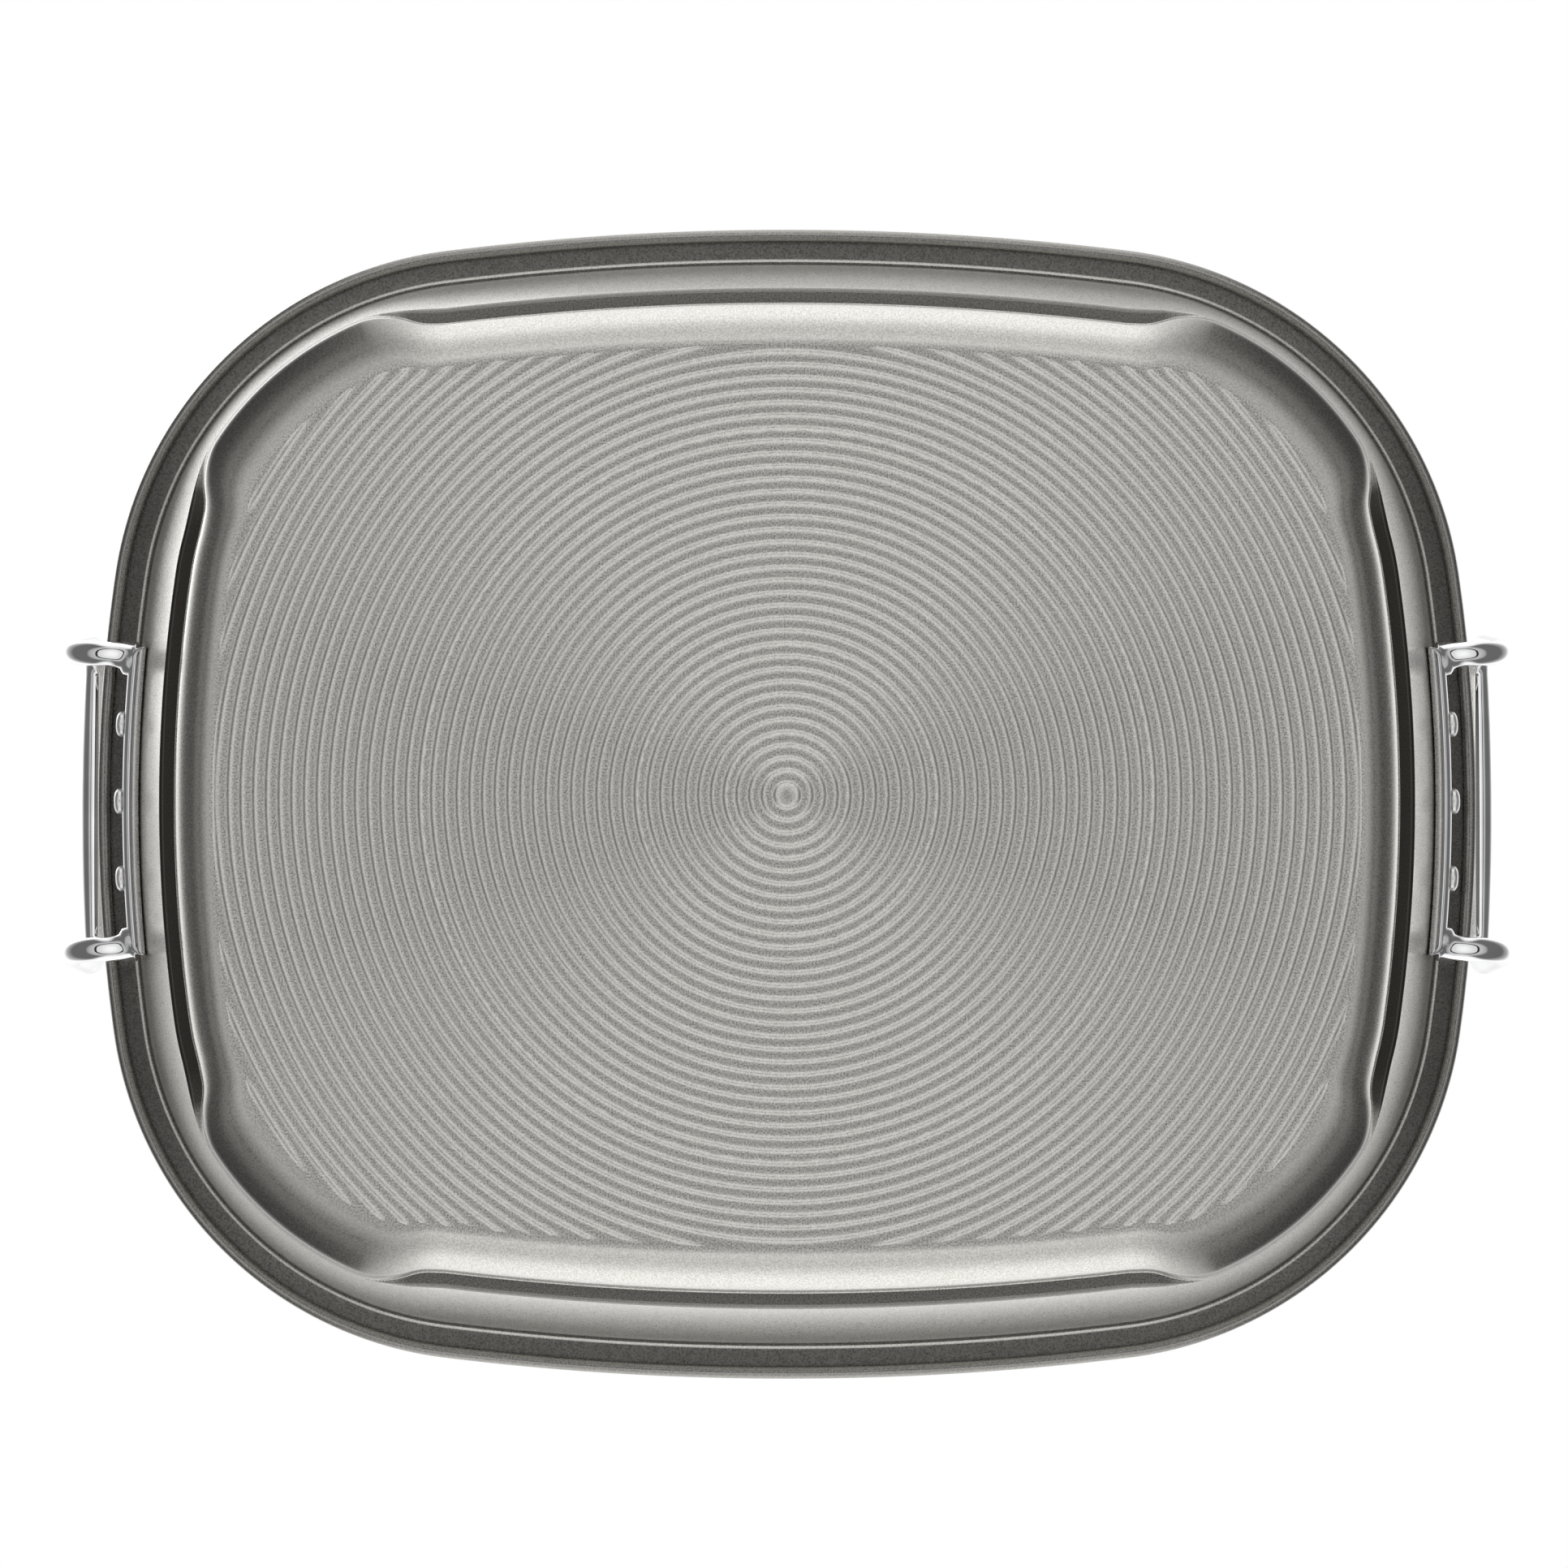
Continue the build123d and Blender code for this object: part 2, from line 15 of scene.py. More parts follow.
import bmesh
import bpy
import numpy as np
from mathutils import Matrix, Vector


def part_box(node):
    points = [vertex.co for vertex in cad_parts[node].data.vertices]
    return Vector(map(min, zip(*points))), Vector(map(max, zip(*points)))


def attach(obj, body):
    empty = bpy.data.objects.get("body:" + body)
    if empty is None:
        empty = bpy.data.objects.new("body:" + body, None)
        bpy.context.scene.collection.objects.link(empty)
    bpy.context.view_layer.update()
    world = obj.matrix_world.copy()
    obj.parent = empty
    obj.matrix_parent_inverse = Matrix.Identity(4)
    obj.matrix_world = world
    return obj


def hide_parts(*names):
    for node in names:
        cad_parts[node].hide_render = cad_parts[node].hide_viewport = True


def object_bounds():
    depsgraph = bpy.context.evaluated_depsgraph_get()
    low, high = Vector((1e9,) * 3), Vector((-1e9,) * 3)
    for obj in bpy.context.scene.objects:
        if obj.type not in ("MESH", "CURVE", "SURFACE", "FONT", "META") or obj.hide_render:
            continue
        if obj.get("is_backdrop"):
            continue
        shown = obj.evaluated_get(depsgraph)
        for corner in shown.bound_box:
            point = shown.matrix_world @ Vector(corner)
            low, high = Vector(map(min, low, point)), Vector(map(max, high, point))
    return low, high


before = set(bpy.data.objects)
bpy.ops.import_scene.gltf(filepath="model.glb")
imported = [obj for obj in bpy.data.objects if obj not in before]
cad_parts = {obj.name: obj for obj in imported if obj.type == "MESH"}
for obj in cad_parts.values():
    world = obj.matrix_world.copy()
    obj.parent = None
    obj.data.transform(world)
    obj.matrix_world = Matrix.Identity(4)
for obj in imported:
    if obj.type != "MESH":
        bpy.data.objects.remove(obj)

log = logging.getLogger("roasting_pan")

FULL_TURN = 2 * math.pi
HALF_TURN = 180.0
MERGE_DISTANCE = 1e-7
# The point attribute that holds the painted shade: 1 leaves the coating as it is, 0 paints it fully shaded.
PAINTED_SHADE_TONE = "painted_shade_tone"
CREASE = math.radians(23)
FLAT_FACE_WEIGHT = 60
FACING_START, FACING_SPAN = 0.3, 0.5
SAME_ANGLE = 1e-9
FULL_RANGE = (0.0, 1.0)
COLOUR_GRAIN, GLOSS_GRAIN = (0.35, 0.65), (0.3, 0.7)
WHITE = (1.0, 1.0, 1.0)
END_POINTS, END_ROUND = 5, 0.5
WELD_ROWS, WELD_SIDES = 7, 14
ROWS = ("front", "middle", "rear")


class Body(Enum):
    """The bodies that pieces ride on."""

    PAN = "pan"
    RACK = "rack"
    LEFT_BAIL = "rack_handle_left"
    RIGHT_BAIL = "rack_handle_right"


class Slot(Enum):
    """The record's material slots."""

    COATING = "pan_coating"
    HANDLE = "handle_chrome"
    RIVET = "rivet_steel"
    WIRE = "rack_wire"
    RIM = "rim_steel"


class Side(Enum):
    """The two short sides of the pan, by the sign of their x."""

    LEFT = -1
    RIGHT = 1

    @property
    def word(self) -> str:
        """The side, as the names of nodes and pieces have it."""
        return self.name.lower()


class Finish(Protocol):
    """Anything that has a name and can make its own material."""

    name: str

    def material(self) -> bpy.types.Material:
        """Make the material."""


# Objects, nodes and materials


def placed(name: str, data: bpy.types.ID) -> bpy.types.Object:
    """Make an object of a mesh, a camera or a lamp, and put it in the scene."""
    made = bpy.data.objects.new(name, data)
    bpy.context.scene.collection.objects.link(made)
    return made


def feed(tree: bpy.types.NodeTree, node: bpy.types.Node, inputs: Mapping[str | int, object]) -> None:
    """Link or set a node's inputs.

    Args:
        tree: The node tree.
        node: The node.
        inputs: What each input gets, by its name or number: another node's output, or a value.
    """
    for name, value in inputs.items():
        if isinstance(value, bpy.types.NodeSocket):
            tree.links.new(value, node.inputs[name])
        else:
            node.inputs[name].default_value = value


def new_node(
    tree: bpy.types.NodeTree, kind: str, inputs: Mapping[str | int, object] | None = None, **options: object
) -> bpy.types.Node:
    """Add a node.

    Args:
        tree: The node tree.
        kind: The node's type, without the "ShaderNode" in front.
        inputs: What each input gets, as for feed.
        options: The node's own settings.

    Returns:
        The node.
    """
    node = tree.nodes.new(f"ShaderNode{kind}")
    for name, value in options.items():
        setattr(node, name, value)
    feed(tree, node, inputs or {})
    return node


def new_material(name: str) -> tuple[bpy.types.Material, bpy.types.NodeTree, bpy.types.Node]:
    """Start a material that has one principled shader.

    Args:
        name: The material's name.

    Returns:
        The material, its node tree and its shader.
    """
    material = bpy.data.materials.new(name)
    material.use_nodes = True
    tree = material.node_tree
    return material, tree, tree.nodes["Principled BSDF"]


def grain(tree: bpy.types.NodeTree, scale: float, detail: float = 2.0) -> bpy.types.NodeSocket:
    """Add a noise in the object's own space.

    Args:
        tree: The material's node tree.
        scale: Grains in a metre.
        detail: Octaves of finer grain.

    Returns:
        The noise, around 0.5.
    """
    place = new_node(tree, "TexCoord").outputs["Object"]
    return new_node(tree, "TexNoise", {"Scale": scale, "Detail": detail, "Vector": place}).outputs["Fac"]


def spread(
    tree: bpy.types.NodeTree,
    value: bpy.types.NodeSocket,
    source: tuple[float, float],
    target: tuple[float, float] = FULL_RANGE,
    shape: str = "LINEAR",
) -> bpy.types.NodeSocket:
    """Map a value from one range to another.

    Args:
        tree: The node tree.
        value: The value to map.
        source: The range it comes from.
        target: The range it is taken to, clamped.
        shape: The shape of the rise between the ends.

    Returns:
        The mapped value.
    """
    ends = dict(zip(("From Min", "From Max", "To Min", "To Max"), (*source, *target)))
    return new_node(tree, "MapRange", {**ends, "Value": value}, interpolation_type=shape).outputs["Result"]


def blend(
    tree: bpy.types.NodeTree,
    share: bpy.types.NodeSocket,
    first: Sequence[float] | bpy.types.NodeSocket,
    second: Sequence[float] | bpy.types.NodeSocket,
) -> bpy.types.NodeSocket:
    """Blend two colours, each of them three numbers or another node's output.

    Args:
        tree: The node tree.
        share: How much of the second colour there is.
        first: The colour at 0.
        second: The colour at 1.

    Returns:
        The blended colour.
    """
    ends = [end if isinstance(end, bpy.types.NodeSocket) else (*end, 1.0) for end in (first, second)]
    return new_node(tree, "Mix", {"Factor": share, "A": ends[0], "B": ends[1]}, data_type="RGBA").outputs["Result"]


def bump(tree: bpy.types.NodeTree, height: bpy.types.NodeSocket, depth: float, strength: float) -> bpy.types.NodeSocket:
    """Make a bump.

    Args:
        tree: The material's node tree.
        height: The bump's height, from 0 to 1.
        depth: What a height of 1 means in metres.
        strength: How strongly it shows.

    Returns:
        The bumped normal.
    """
    return new_node(tree, "Bump", {"Distance": depth, "Strength": strength, "Height": height}).outputs["Normal"]


# Finishes


@dataclass(frozen=True)
class FlakeCoating:
    """The satin, metallic release coating of the shell, with its fine bright flakes and with painted shade: each
    point's tone blends it towards a dark painted shade colour.
    """

    name: str = "flake_coating"
    dark: tuple[float, float, float] = (0.54, 0.525, 0.49)
    light: tuple[float, float, float] = (0.80, 0.785, 0.745)
    # Painted shade: the dark colour that low tones blend the coating towards.
    painted_shade_colour: tuple[float, float, float] = (0.047, 0.042, 0.037)
    metallic: float = 0.95
    roughness: tuple[float, float] = (0.25, 0.35)
    flakes_per_metre: float = 2000.0
    clear_coat: float = 0.35
    clear_coat_roughness: float = 0.10
    flake_height: float = 0.00002
    flake_relief: float = 0.25

    def material(self) -> bpy.types.Material:
        """Make the coating's material.

        Returns:
            The material.
        """
        material, tree, shader = new_material(self.name)
        flakes = grain(tree, self.flakes_per_metre, 1.0)
        flaked = blend(tree, spread(tree, flakes, COLOUR_GRAIN), self.dark, self.light)
        # Painted shade: each point's tone blends the flaked colour towards the painted shade colour.
        shade_tone = new_node(tree, "Attribute", attribute_name=PAINTED_SHADE_TONE).outputs["Fac"]
        looks = {
            "Base Color": blend(tree, shade_tone, self.painted_shade_colour, flaked),
            "Roughness": spread(tree, flakes, GLOSS_GRAIN, self.roughness),
            "Metallic": self.metallic,
            "Coat Weight": self.clear_coat,
            "Coat Roughness": self.clear_coat_roughness,
            "Normal": bump(tree, flakes, self.flake_height, self.flake_relief),
        }
        feed(tree, shader, looks)
        return material


@dataclass(frozen=True)
class BrightMetal:
    """A bright metal: chrome, polished steel or plated wire, with faint wear in its gloss."""

    name: str
    dark: tuple[float, float, float]
    light: tuple[float, float, float]
    roughness: tuple[float, float]
    wear_per_metre: float
    bump_depth: float = 0.0
    bump_strength: float = 0.3

    def material(self) -> bpy.types.Material:
        """Make the metal's material.

        Returns:
            The material.
        """
        material, tree, shader = new_material(self.name)
        wear = grain(tree, self.wear_per_metre, 4.0)
        looks = {
            "Base Color": blend(tree, spread(tree, wear, COLOUR_GRAIN), self.dark, self.light),
            "Roughness": spread(tree, wear, GLOSS_GRAIN, self.roughness),
            "Metallic": 1.0,
        }
        if self.bump_depth:
            looks["Normal"] = bump(tree, wear, self.bump_depth, self.bump_strength)
        feed(tree, shader, looks)
        return material


COATING = FlakeCoating()
CHROME = BrightMetal("handle_chrome", (0.78, 0.78, 0.79), (0.86, 0.86, 0.87), (0.03, 0.07), 90.0)
RIVET_STEEL = BrightMetal("rivet_steel", (0.78, 0.78, 0.77), (0.88, 0.88, 0.87), (0.32, 0.40), 700.0, 0.00001)
PLATED_WIRE = BrightMetal("plated_wire", (0.66, 0.66, 0.67), (0.76, 0.76, 0.77), (0.10, 0.20), 300.0, 0.00001)
RIM_STEEL = BrightMetal("rim_steel", (0.50, 0.50, 0.50), (0.58, 0.58, 0.58), (0.25, 0.35), 300.0)


# Meshes


class MeshDraft:
    """Points and faces that are gathered row by row, and then made into one piece."""

    def __init__(self) -> None:
        """Start with no points and no faces."""
        self.points: list[np.ndarray] = []
        self.shade_tones: list[np.ndarray] = []
        self.faces: list[tuple[int, ...]] = []
        self.count = 0

    def row(self, points: np.ndarray, shade_tone: float | np.ndarray = 1.0) -> np.ndarray:
        """Add a row of points.

        Args:
            points: The points, one in each line.
            shade_tone: The painted shade at each point, from 0 (fully shaded) to 1 (none).

        Returns:
            Their numbers.
        """
        self.points.append(np.asarray(points, float).reshape(-1, 3))
        self.shade_tones.append(np.broadcast_to(np.asarray(shade_tone, float), len(self.points[-1])))
        start = self.count
        self.count += len(self.points[-1])
        return np.arange(start, self.count)

    def band(self, one: np.ndarray, other: np.ndarray, closed: bool = True) -> None:
        """Join two rows of as many points with a band of quads.

        Args:
            one: The numbers of the first row.
            other: The numbers of the second row.
            closed: Whether the band closes into a ring.
        """
        if closed:
            one = np.append(one, one[0])
            other = np.append(other, other[0])
        quads = np.stack([one[:-1], one[1:], other[1:], other[:-1]], axis=1)
        self.faces.extend(map(tuple, quads.tolist()))

    def halving_band(self, fine: np.ndarray, coarse: np.ndarray) -> None:
        """Join a closed row to one with half as many points.

        Args:
            fine: The numbers of the fuller row.
            coarse: The numbers of the other row.
        """
        fine = np.append(fine, fine[0])
        coarse = np.append(coarse, coarse[0])
        for number in range(len(coarse) - 1):
            start, middle, end = fine[2 * number : 2 * number + 3]
            self.faces.append((coarse[number], start, middle))
            self.faces.append((coarse[number], middle, coarse[number + 1]))
            self.faces.append((coarse[number + 1], middle, end))

    def fan(self, ring: np.ndarray, tip: np.ndarray) -> None:
        """Close a ring with triangles to one point.

        Args:
            ring: The ring's numbers.
            tip: The row that holds the one point.
        """
        ends = np.roll(ring, -1)
        self.faces.extend((int(a), int(b), int(tip[0])) for a, b in zip(ring, ends))

    def rows(self, rows: Sequence[np.ndarray], shade_tones: Sequence[np.ndarray] = ()) -> list[np.ndarray]:
        """Add rows of as many points, and join each to the next.

        Args:
            rows: The rows' points.
            shade_tones: The rows' painted shade tones, if they aren't all 1.

        Returns:
            The rows' numbers.
        """
        numbers = [self.row(points, shade_tones[spot] if len(shade_tones) else 1.0) for spot, points in enumerate(rows)]
        for one, other in zip(numbers, numbers[1:]):
            self.band(one, other)
        return numbers

    def mesh(self, name: str) -> bpy.types.Mesh:
        """Merge the points that coincide, drop the faces that vanish, and make a smooth mesh.

        Args:
            name: The mesh's name.

        Returns:
            The mesh.
        """
        points = np.concatenate(self.points)
        keys = np.round(points / MERGE_DISTANCE).astype(np.int64)
        _, first, place = np.unique(keys, axis=0, return_index=True, return_inverse=True)
        place = place.ravel()
        faces = []
        for face in self.faces:
            corners = [int(place[number]) for number in face]
            kept = [c for spot, c in enumerate(corners) if c != corners[spot - 1]]
            if len(set(kept)) == len(kept) >= 3:
                faces.append(kept)
        mesh = bpy.data.meshes.new(name)
        mesh.from_pydata(points[first].tolist(), [], faces)
        # Store each point's painted shade tone, which the coating's material reads.
        shade_tones = mesh.attributes.new(PAINTED_SHADE_TONE, "FLOAT", "POINT")
        shade_tones.data.foreach_set("value", np.concatenate(self.shade_tones)[first].astype(np.float32))
        tidy = bmesh.new()
        tidy.from_mesh(mesh)
        bmesh.ops.recalc_face_normals(tidy, faces=tidy.faces)
        tidy.to_mesh(mesh)
        tidy.free()
        return creased(mesh)


@dataclass(frozen=True)
class Workshop:
    """Turns meshes into pieces: dresses them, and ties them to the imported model."""

    materials: dict[str, bpy.types.Material] = field(default_factory=dict)

    def finish(self, finish: Finish) -> bpy.types.Material:
        """Make a finish's material once.

        Args:
            finish: The finish.

        Returns:
            Its material.
        """
        if finish.name not in self.materials:
            self.materials[finish.name] = finish.material()
        return self.materials[finish.name]

    def piece(
        self, mesh: bpy.types.Mesh, finish: Finish, body: Body, slot: Slot, nodes: Sequence[str] = ()
    ) -> bpy.types.Object:
        """Make a piece from a mesh.

        Args:
            mesh: The mesh, named as the piece.
            finish: What it is dressed in.
            body: The body it rides on.
            slot: Not used.
            nodes: The nodes that it stands for.

        Returns:
            The piece.
        """
        mesh.materials.clear()
        mesh.materials.append(self.finish(finish))
        piece = placed(mesh.name, mesh)
        flats = piece.modifiers.new("flat_faces_first", "WEIGHTED_NORMAL")
        flats.weight = FLAT_FACE_WEIGHT
        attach(piece, body.value)
        if nodes:
            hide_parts(*nodes)
        log.info("%s: %d faces", piece.name, len(mesh.polygons))
        return piece

    def dress_node(self, name: str, finish: Finish, slot: Slot) -> None:
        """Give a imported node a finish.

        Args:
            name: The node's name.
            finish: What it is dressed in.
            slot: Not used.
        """
        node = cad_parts[name]
        node.data.materials.clear()
        node.data.materials.append(self.finish(finish))
        log.info("%s: dressed", name)


def creased(mesh: bpy.types.Mesh, angle: float = CREASE) -> bpy.types.Mesh:
    """Shade a mesh smooth, but for the edges that turn by more than an angle.

    Args:
        mesh: The mesh.
        angle: The least turn that stays crisp.

    Returns:
        The same mesh.
    """
    tidy = bmesh.new()
    tidy.from_mesh(mesh)
    for polygon in tidy.faces:
        polygon.smooth = True
    for edge in tidy.edges:
        edge.smooth = len(edge.link_faces) != 2 or edge.calc_face_angle() < angle
    tidy.to_mesh(mesh)
    tidy.free()
    mesh.update()
    return mesh


def turned(
    profile: Sequence[tuple[float, float]], origin: Vector, axis: Vector, name: str, sides: int = 36, ring: bool = False
) -> bpy.types.Mesh:
    """Turn a profile round an axis, as on a lathe.

    Args:
        profile: Radius and height of each point, from the axis to the axis, or round a ring's section.
        origin: The point of the axis at height 0.
        axis: The axis, one unit long.
        name: The mesh's name.
        sides: Points in a turn.
        ring: Whether the profile closes on itself, clear of the axis.

    Returns:
        The closed mesh.
    """
    across = axis.orthogonal().normalized()
    third = axis.cross(across)
    angles = np.arange(sides) * FULL_TURN / sides
    spokes = np.outer(np.cos(angles), across) + np.outer(np.sin(angles), third)
    draft = MeshDraft()
    numbers = draft.rows([np.array(origin) + height * np.array(axis) + reach * spokes for reach, height in profile])
    if ring:
        draft.band(numbers[-1], numbers[0])
    return draft.mesh(name)


def path_frames(path: np.ndarray, up: Sequence[float], closed: bool = False) -> tuple[np.ndarray, np.ndarray]:
    """Find the two cross directions at each point of a path.

    Args:
        path: The path's points.
        up: A direction that the second cross direction keeps near.
        closed: Whether the path closes into a loop.

    Returns:
        The cross directions, sideways and up.
    """
    if closed:
        along = np.roll(path, -1, axis=0) - np.roll(path, 1, axis=0)
    else:
        along = np.gradient(path, axis=0)
    along /= np.linalg.norm(along, axis=1)[:, None]
    lift = np.asarray(up, float)
    lift = lift - (lift @ along[0]) * along[0]
    ups = []
    for direction in along:
        lift = lift - (lift @ direction) * direction
        lift = lift / np.linalg.norm(lift)
        ups.append(lift)
    ups = np.array(ups)
    return np.cross(along, ups), ups


def rounded_path(corners: Sequence[Sequence[float]], radii: Sequence[float], steps: int = 10) -> np.ndarray:
    """Round the inner corners of a path with arcs.

    Args:
        corners: The path's corners, ends included.
        radii: A radius for each inner corner.
        steps: Runs in each arc.

    Returns:
        The path's points.
    """
    points = [np.asarray(corner, float) for corner in corners]
    path = [points[0]]
    for before, corner, after, radius in zip(points, points[1:], points[2:], radii):
        back = (before - corner) / np.linalg.norm(before - corner)
        on = (after - corner) / np.linalg.norm(after - corner)
        half = math.acos(float(np.clip(back @ on, -1, 1))) / 2
        middle = (back + on) / np.linalg.norm(back + on)
        centre = corner + middle * radius / math.sin(half)
        start = corner + back * radius / math.tan(half)
        first = (start - centre) / radius
        second = np.asarray(-back, float)
        turn = math.pi - 2 * half
        for step in range(steps + 1):
            angle = turn * step / steps
            path.append(centre + radius * (math.cos(angle) * first + math.sin(angle) * second))
    path.append(points[-1])
    return np.array(path)


def divided(path: np.ndarray, longest: float) -> np.ndarray:
    """Divide a path's long runs.

    Args:
        path: The path's points.
        longest: The longest run that may stay.

    Returns:
        The path with its added points.
    """
    made = [path[0]]
    for start, end in zip(path, path[1:]):
        runs = max(1, math.ceil(np.linalg.norm(end - start) / longest))
        made += [start + (end - start) * run / runs for run in range(1, runs + 1)]
    return np.array(made)


def squared(part: np.ndarray, power: float) -> np.ndarray:
    """A circle's sines or cosines, pressed out towards a square."""
    return np.sign(part) * np.abs(part) ** (2 / power)


def tube(
    path: np.ndarray,
    across: np.ndarray,
    upward: np.ndarray,
    name: str,
    up: Sequence[float] = (0, 0, 1),
    sides: int = 24,
    closed: bool = False,
    power: Sequence[float] = (),
) -> bpy.types.Mesh:
    """Make a tube of changing section along a path.

    Args:
        path: The path's points.
        across: The section's half width at each point.
        upward: The section's half height at each point.
        name: The mesh's name.
        up: A direction that the sections' heights keep near.
        sides: Points round the tube.
        closed: Whether the tube closes into a loop.
        power: How square each section is, from 2 for an oval; left out, all are ovals.

    Returns:
        The closed mesh.
    """
    sideways, ups = path_frames(path, up, closed)
    turn = np.arange(sides) * FULL_TURN / sides
    power = power if len(power) else np.full(len(path), 2.0)
    draft = MeshDraft()
    numbers = draft.rows(
        [
            point + width * np.outer(squared(np.cos(turn), n), side) + height * np.outer(squared(np.sin(turn), n), lift)
            for point, width, height, side, lift, n in zip(path, across, upward, sideways, ups, power)
        ]
    )
    if closed:
        draft.band(numbers[-1], numbers[0])
    else:
        draft.fan(numbers[0], draft.row(path[:1]))
        draft.fan(numbers[-1], draft.row(path[-1:]))
    return draft.mesh(name)


def wire(
    path: np.ndarray, radius: float, name: str, up: Sequence[float] = (0, 0, 1), sides: int = 20, closed: bool = False
) -> bpy.types.Mesh:
    """Make a round wire along a path, with softly rounded ends.

    Args:
        path: The path's points.
        radius: The wire's radius.
        name: The mesh's name.
        up: A direction that the cross sections keep near.
        sides: Points round the wire.
        closed: Whether the wire closes into a loop.

    Returns:
        The closed mesh.
    """
    if closed:
        even = np.full(len(path), radius)
        return tube(path, even, even, name, up, sides, True)
    angles = np.linspace(0, math.pi / 2, END_POINTS)
    round_over = END_ROUND * radius
    drop = round_over * (1 - np.sin(angles))
    start = (path[1] - path[0]) / np.linalg.norm(path[1] - path[0])
    end = (path[-2] - path[-1]) / np.linalg.norm(path[-2] - path[-1])
    inset = round_over * (1 - np.cos(angles))
    path = np.concatenate([path[0] + np.outer(inset, start), path[1:-1], path[-1] + np.outer(inset[::-1], end)])
    reach = np.concatenate([radius - drop, np.full(len(path) - 2 * len(angles), radius), radius - drop[::-1]])
    return tube(path, reach, reach, name, up, sides)


def nugget(place: Sequence[float], radii: Sequence[float], name: str) -> bpy.types.Mesh:
    """Make the small flat bead of one spot weld.

    Args:
        place: Its middle.
        radii: Its half sizes along X, Y and Z.
        name: The mesh's name.

    Returns:
        The closed mesh.
    """
    turns = np.linspace(-math.pi / 2, math.pi / 2, WELD_ROWS)
    profile = [(math.cos(turn), math.sin(turn)) for turn in turns]
    mesh = turned(profile, Vector(), Vector((0, 0, 1)), name, WELD_SIDES)
    for vertex in mesh.vertices:
        vertex.co = [middle + reach * part for middle, reach, part in zip(place, radii, vertex.co)]
    return mesh


def united(mesh: bpy.types.Mesh, others: Sequence[bpy.types.Mesh]) -> bpy.types.Mesh:
    """Unite closed meshes into one.

    Args:
        mesh: The first mesh, whose name is kept.
        others: The meshes that are added to it.

    Returns:
        The united mesh.
    """
    name = mesh.name
    main_object = placed("union", mesh)
    helpers = [placed("union_part", other) for other in others]
    for helper in helpers:
        union = main_object.modifiers.new("union", "BOOLEAN")
        union.operation = "UNION"
        union.solver = "EXACT"
        union.object = helper
    graph = bpy.context.evaluated_depsgraph_get()
    made = bpy.data.meshes.new_from_object(main_object.evaluated_get(graph))
    for helper in [main_object, *helpers]:
        bpy.data.objects.remove(helper)
    for old in [mesh, *others]:
        bpy.data.meshes.remove(old)
    made.name = name
    return creased(made)


# The pan


@dataclass(frozen=True)
class Bend:
    """A corner of the sheet's section, rounded where the section turns from one slope to another."""

    inset: np.ndarray
    height: np.ndarray
    slope_in: np.ndarray | float
    slope_out: np.ndarray | float
    radius: np.ndarray
    steps: int

    def rows(self) -> list[tuple[np.ndarray, np.ndarray]]:
        """Work out the bend's points in every column.

        Returns:
            Inset and height of each row of points.
        """
        way = 1.0 if np.all(self.slope_out > self.slope_in) else -1.0
        reach = self.radius * np.tan(abs(self.slope_out - self.slope_in) / 2)
        start_inset = self.inset + reach * np.cos(self.slope_in)
        start_height = self.height - reach * np.sin(self.slope_in)
        centre_inset = start_inset + way * self.radius * np.sin(self.slope_in)
        centre_height = start_height + way * self.radius * np.cos(self.slope_in)
        made = []
        for step in range(self.steps + 1):
            slope = self.slope_in + (self.slope_out - self.slope_in) * step / self.steps
            made.append(
                (
                    centre_inset - way * self.radius * np.sin(slope),
                    centre_height - way * self.radius * np.cos(slope),
                )
            )
        return made


class Columns(NamedTuple):
    """The places round the outline at which the sheet's section is built.

    Each has the centre and the rim radius of its arc, its angle, its share of the ledge's step and its share of
    the corner, both from 0 to 1.
    """

    centre: np.ndarray
    radius: np.ndarray
    angle: np.ndarray
    step: np.ndarray
    corner: np.ndarray


def facing(share: np.ndarray) -> np.ndarray:
    """How far something faces along Y, from 0 to 1, by the share of Y in its direction."""
    return np.clip((np.abs(share) - FACING_START) / FACING_SPAN, 0, 1)


